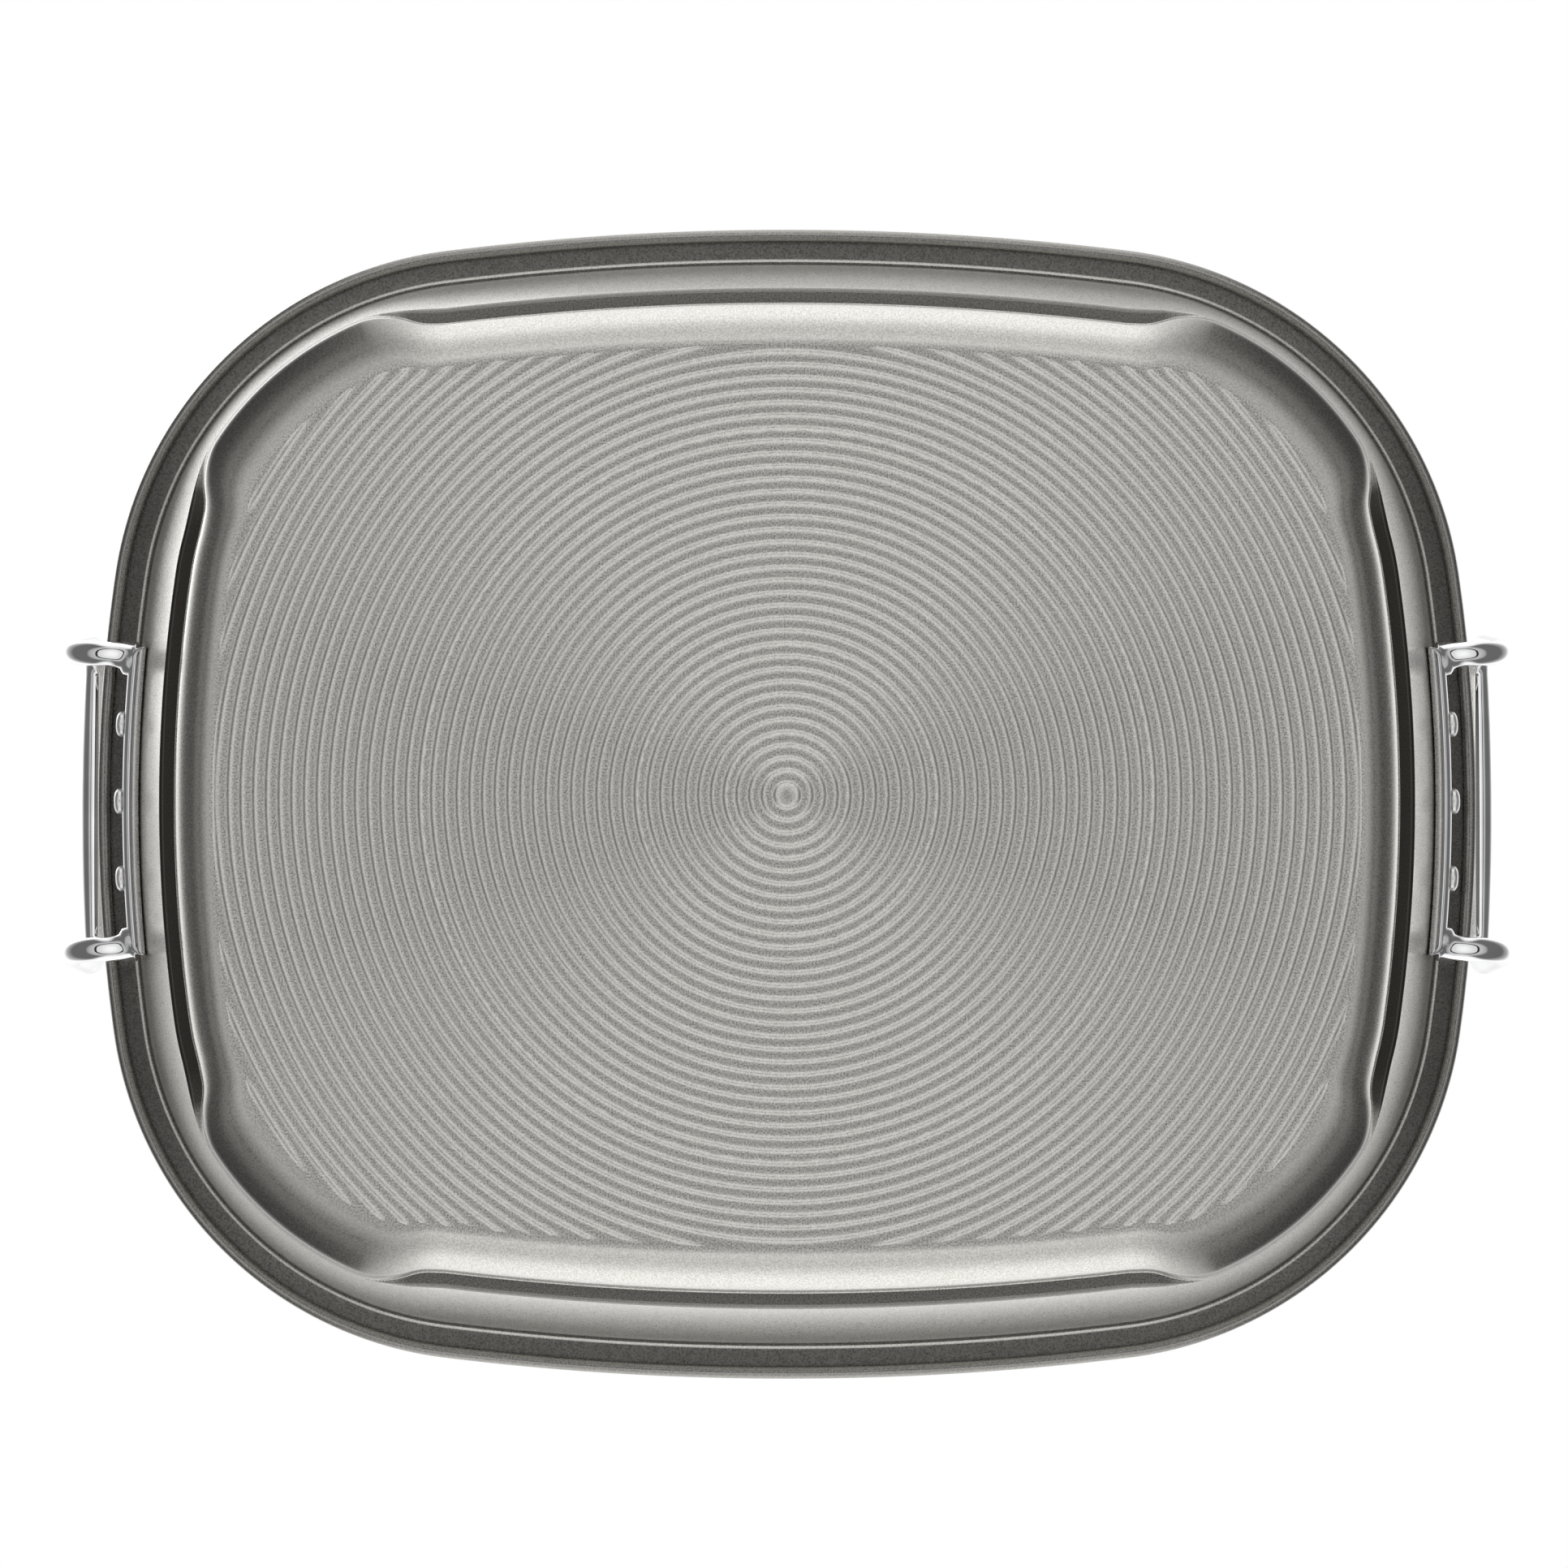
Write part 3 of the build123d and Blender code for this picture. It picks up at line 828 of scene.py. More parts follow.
@dataclass(frozen=True)
class PanOutline:
    """The rim's outline, seen from above: four long side arcs tangent to four corner arcs.

    Its columns are the places round it at which the sheet's section is built. Each has a centre and an angle,
    so that an inset from the rim's edge runs square to the outline. The corner's share starts to rise a little
    before the ledge's end (corner_lead) and is full past it (corner_span), both in lengths of the ledge's S bend.
    """

    half_length: float
    half_width: float
    long_radius: float = 0.876
    short_radius: float = 0.511
    corner_radius: float = 0.1193
    ledge_half_length: float = 0.1075
    ledge_half_width: float = 0.084
    ledge_step: float = 0.0049
    ledge_outer_bend: float = 0.030
    ledge_inner_bend: float = 0.012
    ledge_level_inset: float = 0.0295
    short_columns: int = 25
    first_corner_columns: int = 8
    bend_columns: int = 18
    middle_corner_columns: int = 22
    last_corner_columns: int = 4
    long_columns: int = 37
    corner_lead: float = 0.4
    corner_span: float = 1.5

    @property
    def short_centre(self) -> float:
        """How far along X the right side's arc is centred."""
        return self.half_length - self.short_radius

    @property
    def long_centre(self) -> float:
        """How far along Y the rear side's arc is centred."""
        return self.half_width - self.long_radius

    def corner_centre(self) -> tuple[float, float]:
        """Find the centre of the corner arc that touches both side arcs from inside.

        Returns:
            Its x and y.
        """
        short_centre, long_centre = self.short_centre, self.long_centre
        long_reach = self.long_radius - self.corner_radius
        short_reach = self.short_radius - self.corner_radius
        apart = math.hypot(short_centre, long_centre)
        along = (long_reach**2 - short_reach**2 + apart**2) / (2 * apart)
        across = math.sqrt(long_reach**2 - along**2)
        east, north = short_centre / apart, -long_centre / apart
        return east * along + north * across, long_centre + north * along - east * across

    @cached_property
    def columns(self) -> Columns:
        """The columns, laid out anticlockwise from the middle of the right side."""
        corner_x, corner_y = self.corner_centre()
        short_centre, long_centre = self.short_centre, self.long_centre
        short_end = math.atan2(corner_y, corner_x - short_centre)
        long_start = math.atan2(corner_y - long_centre, corner_x)
        stepped = self.corner_radius - self.ledge_level_inset - self.ledge_step
        bends = self.ledge_outer_bend + self.ledge_inner_bend
        bend_length = math.sqrt(bends**2 - (bends - self.ledge_step) ** 2)
        bend_turn = bend_length / (stepped + self.ledge_step / 2)
        first_bend = math.asin((self.ledge_half_width - corner_y) / stepped)
        last_bend = math.acos((self.ledge_half_length - corner_x) / stepped)
        stops = [
            (0.0, short_end, self.short_columns),
            (short_end, first_bend, self.first_corner_columns),
            (first_bend, first_bend + bend_turn, self.bend_columns),
            (first_bend + bend_turn, last_bend - bend_turn, self.middle_corner_columns),
            (last_bend - bend_turn, last_bend, self.bend_columns),
            (last_bend, long_start, self.last_corner_columns),
            (long_start, math.pi / 2, self.long_columns),
        ]
        angles = np.concatenate([np.linspace(start, end, count, endpoint=False) for start, end, count in stops])
        angles = np.append(angles, math.pi / 2)
        on_short = angles < short_end - SAME_ANGLE
        on_long = angles >= long_start - SAME_ANGLE
        radius = np.where(on_short, self.short_radius, np.where(on_long, self.long_radius, self.corner_radius))
        centre_x = np.where(on_short, short_centre, np.where(on_long, 0.0, corner_x))
        centre_y = np.where(on_short, 0.0, np.where(on_long, long_centre, corner_y))
        past_first = (angles - first_bend) / bend_turn * bend_length
        past_last = (last_bend - angles) / bend_turn * bend_length
        step = np.maximum(self.step_at(past_first, bend_length), self.step_at(past_last, bend_length))
        rise = np.minimum(angles - first_bend, last_bend - angles) / bend_turn
        corner = np.clip((rise + self.corner_lead) / self.corner_span, 0, 1)
        corner = corner**2 * (3 - 2 * corner)
        quarter = np.stack([centre_x, centre_y, radius, angles, step, corner])
        across = quarter[:, ::-1][:, 1:].copy()
        across[0] *= -1
        across[3] = math.pi - across[3]
        half_turn = np.concatenate([quarter, across], axis=1)[:, :-1]
        other_half = half_turn.copy()
        other_half[:2] *= -1
        other_half[3] += math.pi
        whole = np.concatenate([half_turn, other_half], axis=1)
        return Columns(np.stack([whole[0], whole[1]], axis=1), *whole[2:])

    def step_at(self, past: np.ndarray, bend_length: float) -> np.ndarray:
        """Work out how much of the ledge's step is left at a distance past the ledge's end.

        Args:
            past: The distance, along the outline.
            bend_length: The length of the S bend.

        Returns:
            The share of the step, from 1 to 0.
        """
        inner, outer = self.ledge_inner_bend, self.ledge_outer_bend
        split = inner * bend_length / (inner + outer)
        near = self.ledge_step - inner + np.sqrt(np.clip(inner**2 - past**2, 0, None))
        far = outer - np.sqrt(np.clip(outer**2 - (bend_length - past) ** 2, 0, None))
        left = np.where(past < split, near, far) / self.ledge_step
        return np.where(past <= 0, 1.0, np.where(past >= bend_length, 0.0, left))


@dataclass
class Section:
    """The sheet's section: rows of points, each with the tone of its painted shade, round the whole outline."""

    insets: list[np.ndarray] = field(default_factory=list)
    heights: list[np.ndarray] = field(default_factory=list)
    shade_tones: list[np.ndarray] = field(default_factory=list)

    def add(self, rows: Sequence[tuple[np.ndarray, np.ndarray]], shade_tone: float | np.ndarray = 1.0) -> None:
        """Add rows.

        Args:
            rows: Inset and height of each row, in each column.
            shade_tone: The painted shade, from 0 (fully shaded) to 1 (none).
        """
        for inset, height in rows:
            self.insets.append(inset)
            self.heights.append(height)
            self.shade_tones.append(0 * inset + shade_tone)


@dataclass(frozen=True)
class BendShadeTones:
    """The painted shade on the coating round the floor's bend, by the slope in degrees that the bend has reached: lower
    tones paint it darker, most on the short sides and in the corners.
    """

    slopes: tuple[float, ...] = (0, 5, 12, 30, 60, 90)
    short_side: tuple[float, ...] = (0.90, 0.60, 0.36, 0.42, 1.00, 1.00)
    corner: tuple[float, ...] = (0.90, 0.62, 0.40, 0.30, 0.20, 0.26)
    long_side: tuple[float, ...] = (1.0, 0.97, 0.92, 1.00, 1.00, 1.00)

    def at(self, slope: np.ndarray, lengthways: np.ndarray, corner: np.ndarray) -> np.ndarray:
        """Work out the painted shade tone at a slope.

        Args:
            slope: The slope, in each column.
            lengthways: How far each column faces along Y.
            corner: Each column's share of the corner.

        Returns:
            The tone in each column.
        """
        shade_tones = (self.short_side, self.corner, self.long_side)
        short, bent, long = (np.interp(np.degrees(slope), self.slopes, shade_tone) for shade_tone in shade_tones)
        side = short + (long - short) * lengthways
        return side + (bent - side) * corner


@dataclass
class PressedPan:
    """The pressed sheet pan: ringed floor, ledged walls, flange and rolled bead.

    The walls stand steeper in the corners, and nearly upright under the ledges. The tones paint shade onto the coating:
    on the ledges, under the flange, on the flange and bead, round the floor's bend and in the ring grooves. Pairs of
    tones are for the short sides and the long ones.
    """

    outline: PanOutline
    depth: float
    sheet: float = 0.0008
    draft: float = math.radians(13.4)
    corner_draft: float = math.radians(10.0)
    low_draft: float = math.radians(5.0)
    flange_reach: float = 0.0103
    flange_bend: float = 0.0018
    short_floor_bend: float = 0.012
    long_floor_bend: float = 0.0135
    corner_floor_bend: float = 0.025
    corner_wall_bend: float = 0.006
    floor_bend_split: float = math.radians(38)
    floor_bend_steps: int = 8
    inner_floor_bend_steps: int = 5
    ledge_bend_steps: int = 5
    bend_steps: int = 4
    # Painted shade round the floor's bend, by its slope.
    floor_bend_shade: BendShadeTones = BendShadeTones()
    bead_radius: float = 0.002
    bead_slot: float = 0.00035
    bead_end: float = 1.5
    bead_points: int = 16
    ledge_height: float = 0.020
    ledge_convex: float = 0.0016
    ledge_concave: float = 0.0005
    ring_pitch: float = 0.00384
    ring_width: float = 0.0017
    ring_depth: float = 0.00028
    # Painted shade in the ring grooves: the tone at their bottoms on the short sides and on the long ones.
    groove_shade_tone: tuple[float, float] = (0.34, 0.92)
    ring_margin: float = 0.0003
    ring_fade: float = 0.0012
    ring_crest: float = 0.15
    floor_levels: tuple[float, ...] = (0.110, 0.045, 0.018)
    # Painted shade on the ledges, under the flange, on the flange and on the bead; pairs are for the short sides and
    # the long ones.
    ledge_tone: tuple[float, float] = (0.0, 0.3)
    ledge_tone_rise: float = 1.5
    under_flange_shade_tone: float = 0.3
    under_flange_shade_reach: float = 0.0045
    flange_shade_tone: tuple[float, float] = (0.13, 0.28)
    bead_shade_tone: tuple[float, float] = (0.35, 0.45)

    def lengthways(self) -> np.ndarray:
        """How much each column faces along Y, from 0 to 1."""
        return facing(np.sin(self.outline.columns.angle))

    def shade_tone(self, ends: tuple[float, float]) -> np.ndarray:
        """Blend a painted shade tone between the short sides and the long ones.

        Args:
            ends: The painted shade tone on the short sides and on the long ones.

        Returns:
            The tone in each column.
        """
        return ends[0] + (ends[1] - ends[0]) * self.lengthways()

    def slope(self) -> np.ndarray:
        """The wall's slope from level, in each column: steeper in the corners."""
        return math.pi / 2 - self.draft + (self.draft - self.corner_draft) * self.outline.columns.corner

    def low_slope(self) -> np.ndarray:
        """The slope of the wall under the ledges, in each column."""
        slope = self.slope()
        return slope + (math.pi / 2 - self.low_draft - slope) * self.outline.columns.step

    def low_run(self, height: np.ndarray | float) -> np.ndarray:
        """How far the outer face under the ledges lies inside the rim's edge at a height, in each column."""
        under = self.outline.ledge_step * self.outline.columns.step
        return self.wall_run(self.ledge_height) + under + (self.ledge_height - height) / np.tan(self.low_slope())

    def floor_bend(self, skin: float, level: float, steps: int) -> list[tuple[np.ndarray, np.ndarray]]:
        """Work out the floor's bend: an arc that leaves the floor, and one that meets the wall.

        Args:
            skin: How much smaller the arcs are than on the outside of the sheet.
            level: The floor's height on this side of the sheet.
            steps: Runs in each arc.

        Returns:
            Inset and height of each row of points, from the floor up.
        """
        side = self.short_floor_bend + (self.long_floor_bend - self.short_floor_bend) * self.lengthways()
        corner = self.outline.columns.corner
        wide = side + (self.corner_floor_bend - side) * corner - skin
        tight = side + (self.corner_wall_bend - side) * corner - skin
        split, slope = self.floor_bend_split, self.low_slope()
        split_height = level + wide * (1 - math.cos(split))
        height = split_height + tight * (math.cos(split) - np.cos(slope))
        inset = self.low_run(height) + skin / np.sin(slope)
        split_inset = inset + tight * (np.sin(slope) - math.sin(split))
        made = []
        for step in range(steps + 1):
            turn = split * step / steps
            rise = wide * (1 - math.cos(turn))
            made.append((split_inset + wide * (math.sin(split) - math.sin(turn)), level + rise))
        for step in range(1, steps + 1):
            turn = split + (slope - split) * step / steps
            drop = tight * (np.cos(turn) - np.cos(slope))
            made.append((inset + tight * (np.sin(slope) - np.sin(turn)), height - drop))
        return made

    def wall_run(self, height: np.ndarray | float) -> np.ndarray | float:
        """How far the wall's outer face lies inside the rim's edge at a height, in each column."""
        return self.flange_reach + (self.depth - height) / np.tan(self.slope())

    def place(self, inset: np.ndarray | float, height: np.ndarray | float, every: int = 1) -> np.ndarray:
        """Place an inset and a height in each column.

        Args:
            inset: The inset from the rim's edge, in each column.
            height: The height, in each column.
            every: Which columns are kept.

        Returns:
            The points.
        """
        centre, radius, angle, *_ = self.outline.columns
        reach = radius - inset
        points = np.stack(
            [centre[:, 0] + reach * np.cos(angle), centre[:, 1] + reach * np.sin(angle), height + 0 * reach], axis=1
        )
        return points[::every]

    def add_outside(self, section: Section) -> None:
        """Add the outside of the sheet, from the floor's edge to the bead.

        Args:
            section: The section that it is added to.
        """
        step = self.outline.columns.step
        even = 0 * step
        wall = self.slope()
        ledge = even + self.ledge_height
        # Painted shade on the ledge, coming in with the ledge's step.
        ledge_tone = 1 + (self.shade_tone(self.ledge_tone) - 1) * np.clip(step * self.ledge_tone_rise, 0, 1)
        flange_height = even + self.depth - self.sheet
        low = self.low_slope()
        steps = self.floor_bend_steps
        # Painted shade round the floor's bend, by slope, side and corner.
        for number, row in enumerate(self.floor_bend(0.0, 0.0, steps)):
            past = max(0, number - steps) / steps
            slope = self.floor_bend_split * min(number, steps) / steps + (low - self.floor_bend_split) * past
            section.add([row], self.floor_bend_shade.at(slope, self.lengthways(), self.outline.columns.corner))
        rows = Bend(self.low_run(ledge), ledge, low, 0, self.ledge_concave * step, self.bend_steps).rows()
        section.add(rows[:-1])
        section.add(rows[-1:], ledge_tone)
        rows = Bend(self.wall_run(ledge), ledge, 0, wall, self.ledge_convex * step, self.ledge_bend_steps).rows()
        section.add(rows[:-1], ledge_tone)
        section.add(rows[-1:])
        # Painted shade on the wall just under the flange: it darkens from a row a little below up to the start of the
        # flange's bend.
        shade = flange_height - self.under_flange_shade_reach
        section.add([(self.wall_run(shade), shade)])
        flange = even + self.wall_run(flange_height)
        rows = Bend(flange, flange_height, wall, 0, even + self.flange_bend, self.bend_steps).rows()
        section.add(rows[:1], self.under_flange_shade_tone)
        section.add(rows[1:-1])
        # Painted shade on the flange.
        section.add(rows[-1:], self.shade_tone(self.flange_shade_tone))

    def add_bead(self, section: Section) -> None:
        """Add the bead, from the slot at its inner end round to the top of the flange.

        Args:
            section: The section that it is added to.
        """
        even = 0 * self.outline.columns.radius
        radius = self.bead_radius
        middle = self.depth - radius
        flange_height = self.depth - self.sheet
        slot_height = flange_height - self.bead_slot
        end = self.bead_end * radius
        # Painted shade on the flange and the bead.
        section.add([(even + end, even + flange_height)], self.shade_tone(self.flange_shade_tone))
        start = math.asin((slot_height - middle) / radius)
        rows = [(even + end, even + slot_height)]
        for angle in np.linspace(start, -1.5 * math.pi, self.bead_points):
            rows.append((even + radius + radius * math.cos(angle), even + middle + radius * math.sin(angle)))
        section.add(rows, self.shade_tone(self.bead_shade_tone))

    def add_inside(self, section: Section) -> None:
        """Add the inside of the sheet, from the top of the flange to the floor's edge.

        Args:
            section: The section that it is added to.
        """
        step = self.outline.columns.step
        even = 0 * step
        down = math.pi + self.slope()
        skin = self.sheet / np.sin(self.slope())
        ledge = even + self.ledge_height + self.sheet
        convex = (self.ledge_convex - self.sheet) * step
        concave = (self.ledge_concave + self.sheet) * step
        flange_bend = even + self.flange_bend + self.sheet
        flange = even + self.wall_run(self.depth) + skin
        section.add(Bend(flange, even + self.depth, math.pi, down, flange_bend, self.bend_steps).rows())
        section.add(Bend(self.wall_run(ledge) + skin, ledge, down, math.pi, convex, self.bend_steps).rows())
        low = self.low_slope()
        inset = self.low_run(ledge) + self.sheet / np.sin(low)
        section.add(Bend(inset, ledge, math.pi, math.pi + low, concave, self.bend_steps).rows())
        section.add(self.floor_bend(self.sheet, self.sheet, self.inner_floor_bend_steps)[::-1])

    def floor_edge(self) -> np.ndarray:
        """The inset at which the rings end, in each column."""
        return self.floor_bend(0.0, 0.0, 1)[0][0] + self.ring_margin

    def floor(self, draft: MeshDraft, height: float, edge: np.ndarray) -> None:
        """Add one face of the ringed floor.

        Args:
            draft: The draft that it is added to.
            height: The height of its flat part.
            edge: The numbers of the points where the flat floor meets its bent edge.
        """
        border = self.place(self.floor_edge(), height, every=2)
        border_reach = np.hypot(border[:, 0], border[:, 1])
        rays = border[:, :2] / border_reach[:, None]
        last = draft.row(border)
        draft.halving_band(edge, last)
        rings = int(border_reach.max() / self.ring_pitch)
        half = self.ring_width / 2
        crest = self.ring_crest * half
        profile = ((half, 0.0), (crest, 1.0), (-crest, 1.0), (-half, 0.0))
        levels = list(self.floor_levels)
        # Painted shade in the grooves, deepest on the short sides.
        shade = 1 - self.groove_shade_tone[0] - (self.groove_shade_tone[1] - self.groove_shade_tone[0]) * facing(rays[:, 1])
        every = 1
        for ring in range(rings, 0, -1):
            middle = ring * self.ring_pitch
            while levels and middle < levels[0]:
                levels.pop(0)
                every *= 2
            for offset, lift in profile:
                reach = np.minimum(middle + offset, border_reach[::every])
                fade = np.clip((border_reach[::every] - reach) / self.ring_fade, 0, 1)
                points = np.column_stack([rays[::every] * reach[:, None], height + self.ring_depth * lift * fade])
                numbers = draft.row(points, 1 - shade[::every] * lift * fade)
                if len(numbers) < len(last):
                    draft.halving_band(last, numbers)
                else:
                    draft.band(last, numbers)
                last = numbers
        draft.fan(last, draft.row(np.array([[0.0, 0.0, height]])))

    def mesh(self, name: str) -> bpy.types.Mesh:
        """Build the whole pan as one closed sheet.

        Args:
            name: The mesh's name.

        Returns:
            The mesh.
        """
        section = Section()
        self.add_outside(section)
        self.add_bead(section)
        self.add_inside(section)
        draft = MeshDraft()
        points = [self.place(inset, height) for inset, height in zip(section.insets, section.heights)]
        numbers = draft.rows(points, section.shade_tones)
        self.floor(draft, 0.0, numbers[0])
        self.floor(draft, self.sheet, numbers[-1])
        return draft.mesh(name)

    def build(self, workshop: Workshop) -> None:
        """Make the pan's pieces.

        Args:
            workshop: What dresses them.
        """
        workshop.piece(self.mesh("pan_shell"), COATING, Body.PAN, Slot.COATING, ["pan_body"])
        workshop.dress_node("rim_wire", RIM_STEEL, Slot.RIM)


# The pan's handles


@dataclass
class LoopHandle:
    """A cast handle and its rivets: a wedge plate on the short wall, two arms under the rim, and a swelled grip.

    The rivets' heads are shares of their radius and height: head_skirt has the foot's reach and the heights of
    the edge and the shoulder, head_crown how far the crown rounds in and up from there, inner_head_flat the
    reach of the flat and of the bevel.
    """

    side: Side
    pan: PressedPan
    plate_length: float = 0.096
    plate_height: float = 0.013
    plate_top_thickness: float = 0.003
    plate_drop: float = 0.0135
    plate_edge: float = 0.0008
    plate_round: float = 0.0029
    plate_end: float = 0.0035
    plate_gap: float = 0.00005
    plate_end_fullness: float = 0.25
    plate_run: float = 0.002
    plate_arc_steps: int = 8
    plate_end_columns: int = 9
    plate_columns: int = 49
    arm_radius: float = 0.0038
    arm_spacing: float = 0.092
    flare_along: float = 0.004
    flare_up: float = 0.0022
    flare_run: float = 0.008
    flare_start: float = 0.0002
    root_gap: float = 0.0002
    bow_run: float = 0.0012
    bow_sides: int = 40
    bow_arc_steps: int = 14
    flat_power: float = 2.4
    flat_reach: float = 0.008
    flat_fade: float = 0.010
    knee_reach: float = 0.0104
    knee_bend: float = 0.014
    grip_reach: float = 0.0035
    grip_length: float = 0.102
    grip_rise: float = 0.028
    grip_bend: float = 0.009
    grip_radius: float = 0.005
    grip_slack: float = 0.0005
    rivet_pitch: float = 0.0238
    head_radius: float = 0.00405
    head_height: float = 0.0027
    head_skirt: tuple[float, float, float] = (0.93, 0.1, 0.35)
    head_crown: tuple[float, float] = (0.65, 0.62)
    head_crown_degrees: tuple[float, ...] = (12, 25, 38, 51, 64, 77, 90)
    inner_head_height: float = 0.0015
    inner_head_flat: tuple[float, float] = (0.8, 0.95)
    inner_head_edge: tuple[float, float] = (0.0004, 0.001)
    shank_radius: float = 0.0024

    @property
    def middle(self) -> float:
        """The height of the plate's middle."""
        return self.pan.depth - self.pan.sheet - self.plate_drop

    @property
    def centre(self) -> float:
        """How far along X the short wall's arcs are centred, on the right side."""
        return self.pan.outline.short_centre

    def wall_radius(self, height: float) -> float:
        """The radius of the short wall's outer face at a height."""
        return self.pan.outline.short_radius - float(self.pan.wall_run(height)[0])

    def face_radius(self) -> float:
        """The radius of the plate's upright outer face."""
        top = self.middle + self.plate_height / 2
        return self.wall_radius(top) + self.plate_gap + self.plate_top_thickness

    def sided(self, points: np.ndarray) -> np.ndarray:
        """Take points laid out on the right side to this handle's side."""
        return points * np.array([self.side.value, 1, 1])

    def plate(self) -> bpy.types.Mesh:
        """Build the wedge plate, curved along the wall and rounded off at its ends.

        Returns:
            The mesh.
        """
        bottom, top = self.middle - self.plate_height / 2, self.middle + self.plate_height / 2
        low, high = self.wall_radius(bottom) + self.plate_gap, self.wall_radius(top) + self.plate_gap
        face = self.face_radius()
        start = ((low + face) / 2, bottom)
        corners = [start, (face, bottom), (face, top), (high, top), (low, bottom), start]
        radii = [self.plate_round, self.plate_edge, self.plate_edge, self.plate_round]
        loop = divided(rounded_path(corners, radii, self.plate_arc_steps), self.plate_run)[:-1]
        wall = low + (high - low) * (loop[:, 1] - bottom) / self.plate_height
        half = self.plate_length / 2
        ends = self.plate_end * (1 - np.cos(np.linspace(0, math.pi / 2, self.plate_end_columns)))
        run = np.linspace(self.plate_end, self.plate_length - self.plate_end, self.plate_columns)[1:-1]
        draft = MeshDraft()
        rows = []
        for along in np.concatenate([ends, run, self.plate_length - ends[::-1]]):
            past = min(along, self.plate_length - along, self.plate_end) / self.plate_end
            thin = self.plate_end_fullness
            fullness = thin + (1 - thin) * math.sqrt(1 - (1 - past) ** 2)
            reach = wall + (loop[:, 0] - wall) * fullness
            turn = (along - half) / self.wall_radius(self.middle)
            rows.append(
                np.column_stack([self.centre + reach * math.cos(turn), reach * math.sin(turn), loop[:, 1]])
            )
        numbers = draft.rows([self.sided(row) for row in rows])
        draft.fan(numbers[0], draft.row(self.sided(rows[0].mean(axis=0)[None])))
        draft.fan(numbers[-1], draft.row(self.sided(rows[-1].mean(axis=0)[None])))
        return draft.mesh(f"pan_handle_{self.side.word}")

    def bow(self) -> bpy.types.Mesh:
        """Build both arms and the grip in one run, from the plate out, up, along and back.

        Returns:
            The mesh.
        """
        half_length = self.pan.outline.half_length
        grip_x, knee_x = half_length + self.grip_reach, half_length + self.knee_reach
        grip_z = self.pan.depth + self.grip_rise
        arm_y, grip_y = self.arm_spacing / 2, self.grip_length / 2
        inner_y = arm_y - self.arm_radius - self.flare_along
        wall = self.wall_radius(self.middle + self.plate_height / 2)
        root = self.centre + math.sqrt(wall**2 - inner_y**2) + self.root_gap
        corners = [
            (root, arm_y, self.middle),
            (knee_x, arm_y, self.middle),
            (grip_x, grip_y, grip_z),
            (grip_x, -grip_y, grip_z),
            (knee_x, -arm_y, self.middle),
            (root, -arm_y, self.middle),
        ]
        radii = [self.knee_bend, self.grip_bend, self.grip_bend, self.knee_bend]
        path = divided(rounded_path(corners, radii, self.bow_arc_steps), self.bow_run)
        face = self.centre + math.sqrt(self.face_radius() ** 2 - arm_y**2)
        past = np.clip((path[:, 0] - face + self.flare_start) / self.flare_run, 0, 1)
        flare = 1 - np.sqrt(1 - (1 - past) ** 2)
        on_grip = path[:, 2] > grip_z - self.grip_slack
        swell = np.clip(1 - (path[:, 1] / (grip_y - self.grip_bend)) ** 2, 0, 1) * on_grip
        radius = self.arm_radius + (self.grip_radius - self.arm_radius) * swell
        path[:, 1] -= np.sign(path[:, 1]) * flare * self.flare_along / 2
        across = radius + flare * self.flare_along / 2
        upward = radius + flare * self.flare_up
        level = np.clip((half_length + self.flat_reach - path[:, 0]) / self.flat_fade, 0, 1)
        power = 2 + (self.flat_power - 2) * level * (path[:, 2] < self.pan.depth)
        name = f"bow_{self.side.word}"
        return tube(self.sided(path), across, upward, name, sides=self.bow_sides, power=power)

    def rivet(self, place: float, name: str) -> bpy.types.Mesh:
        """Build one rivet: a crowned head on the plate's face, a shank through the wall, and a head inside.

        Args:
            place: How far along Y it stands.
            name: The mesh's name.

        Returns:
            The mesh.
        """
        wall = self.wall_radius(self.middle)
        turn = math.asin(place / wall)
        level = Vector((self.side.value * math.cos(turn), math.sin(turn), 0))
        out = level * math.cos(self.pan.draft) - Vector((0, 0, math.sin(self.pan.draft)))
        seat = Vector((self.side.value * self.centre, 0, self.middle)) + level * wall
        reach = (self.face_radius() - wall) / math.cos(self.pan.draft)
        gap, tall, wide = self.plate_gap, self.head_height, self.head_radius
        foot, edge, shoulder = self.head_skirt
        out_reach, up_reach = self.head_crown
        crown = [(0, gap), (foot * wide, gap), (wide, gap + edge * tall), (wide, gap + shoulder * tall)]
        for angle in np.radians(self.head_crown_degrees):
            round_out = wide * (1 - out_reach + out_reach * math.cos(angle))
            crown.append((round_out, gap + tall * (shoulder + up_reach * math.sin(angle))))
        crown += [(0, gap + tall)]
        inside = self.pan.sheet + gap
        low = -inside - self.inner_head_height
        edge, shoulder = self.inner_head_edge
        flat, bevel = (share * wide for share in self.inner_head_flat)
        shank = [(0, low), (flat, low), (bevel, low + edge), (wide, low + shoulder), (wide, -inside)]
        shank += [(self.shank_radius, -inside), (self.shank_radius, reach + tall / 2), (0, reach + tall / 2)]
        return united(turned(crown, seat + out * reach, level, name), [turned(shank, seat, out, "shank")])

    def build(self, workshop: Workshop) -> None:
        """Make the handle and its rivets.

        Args:
            workshop: What dresses them.
        """
        side = self.side.word
        workshop.piece(united(self.plate(), [self.bow()]), CHROME, Body.PAN, Slot.HANDLE, [f"handle_{side}"])
        for number, row in enumerate(ROWS):
            mesh = self.rivet((number - 1) * self.rivet_pitch, f"handle_rivet_{side}_{row}")
            workshop.piece(mesh, RIVET_STEEL, Body.PAN, Slot.RIVET, [f"rivet_{side}_{row}"])


# The rack


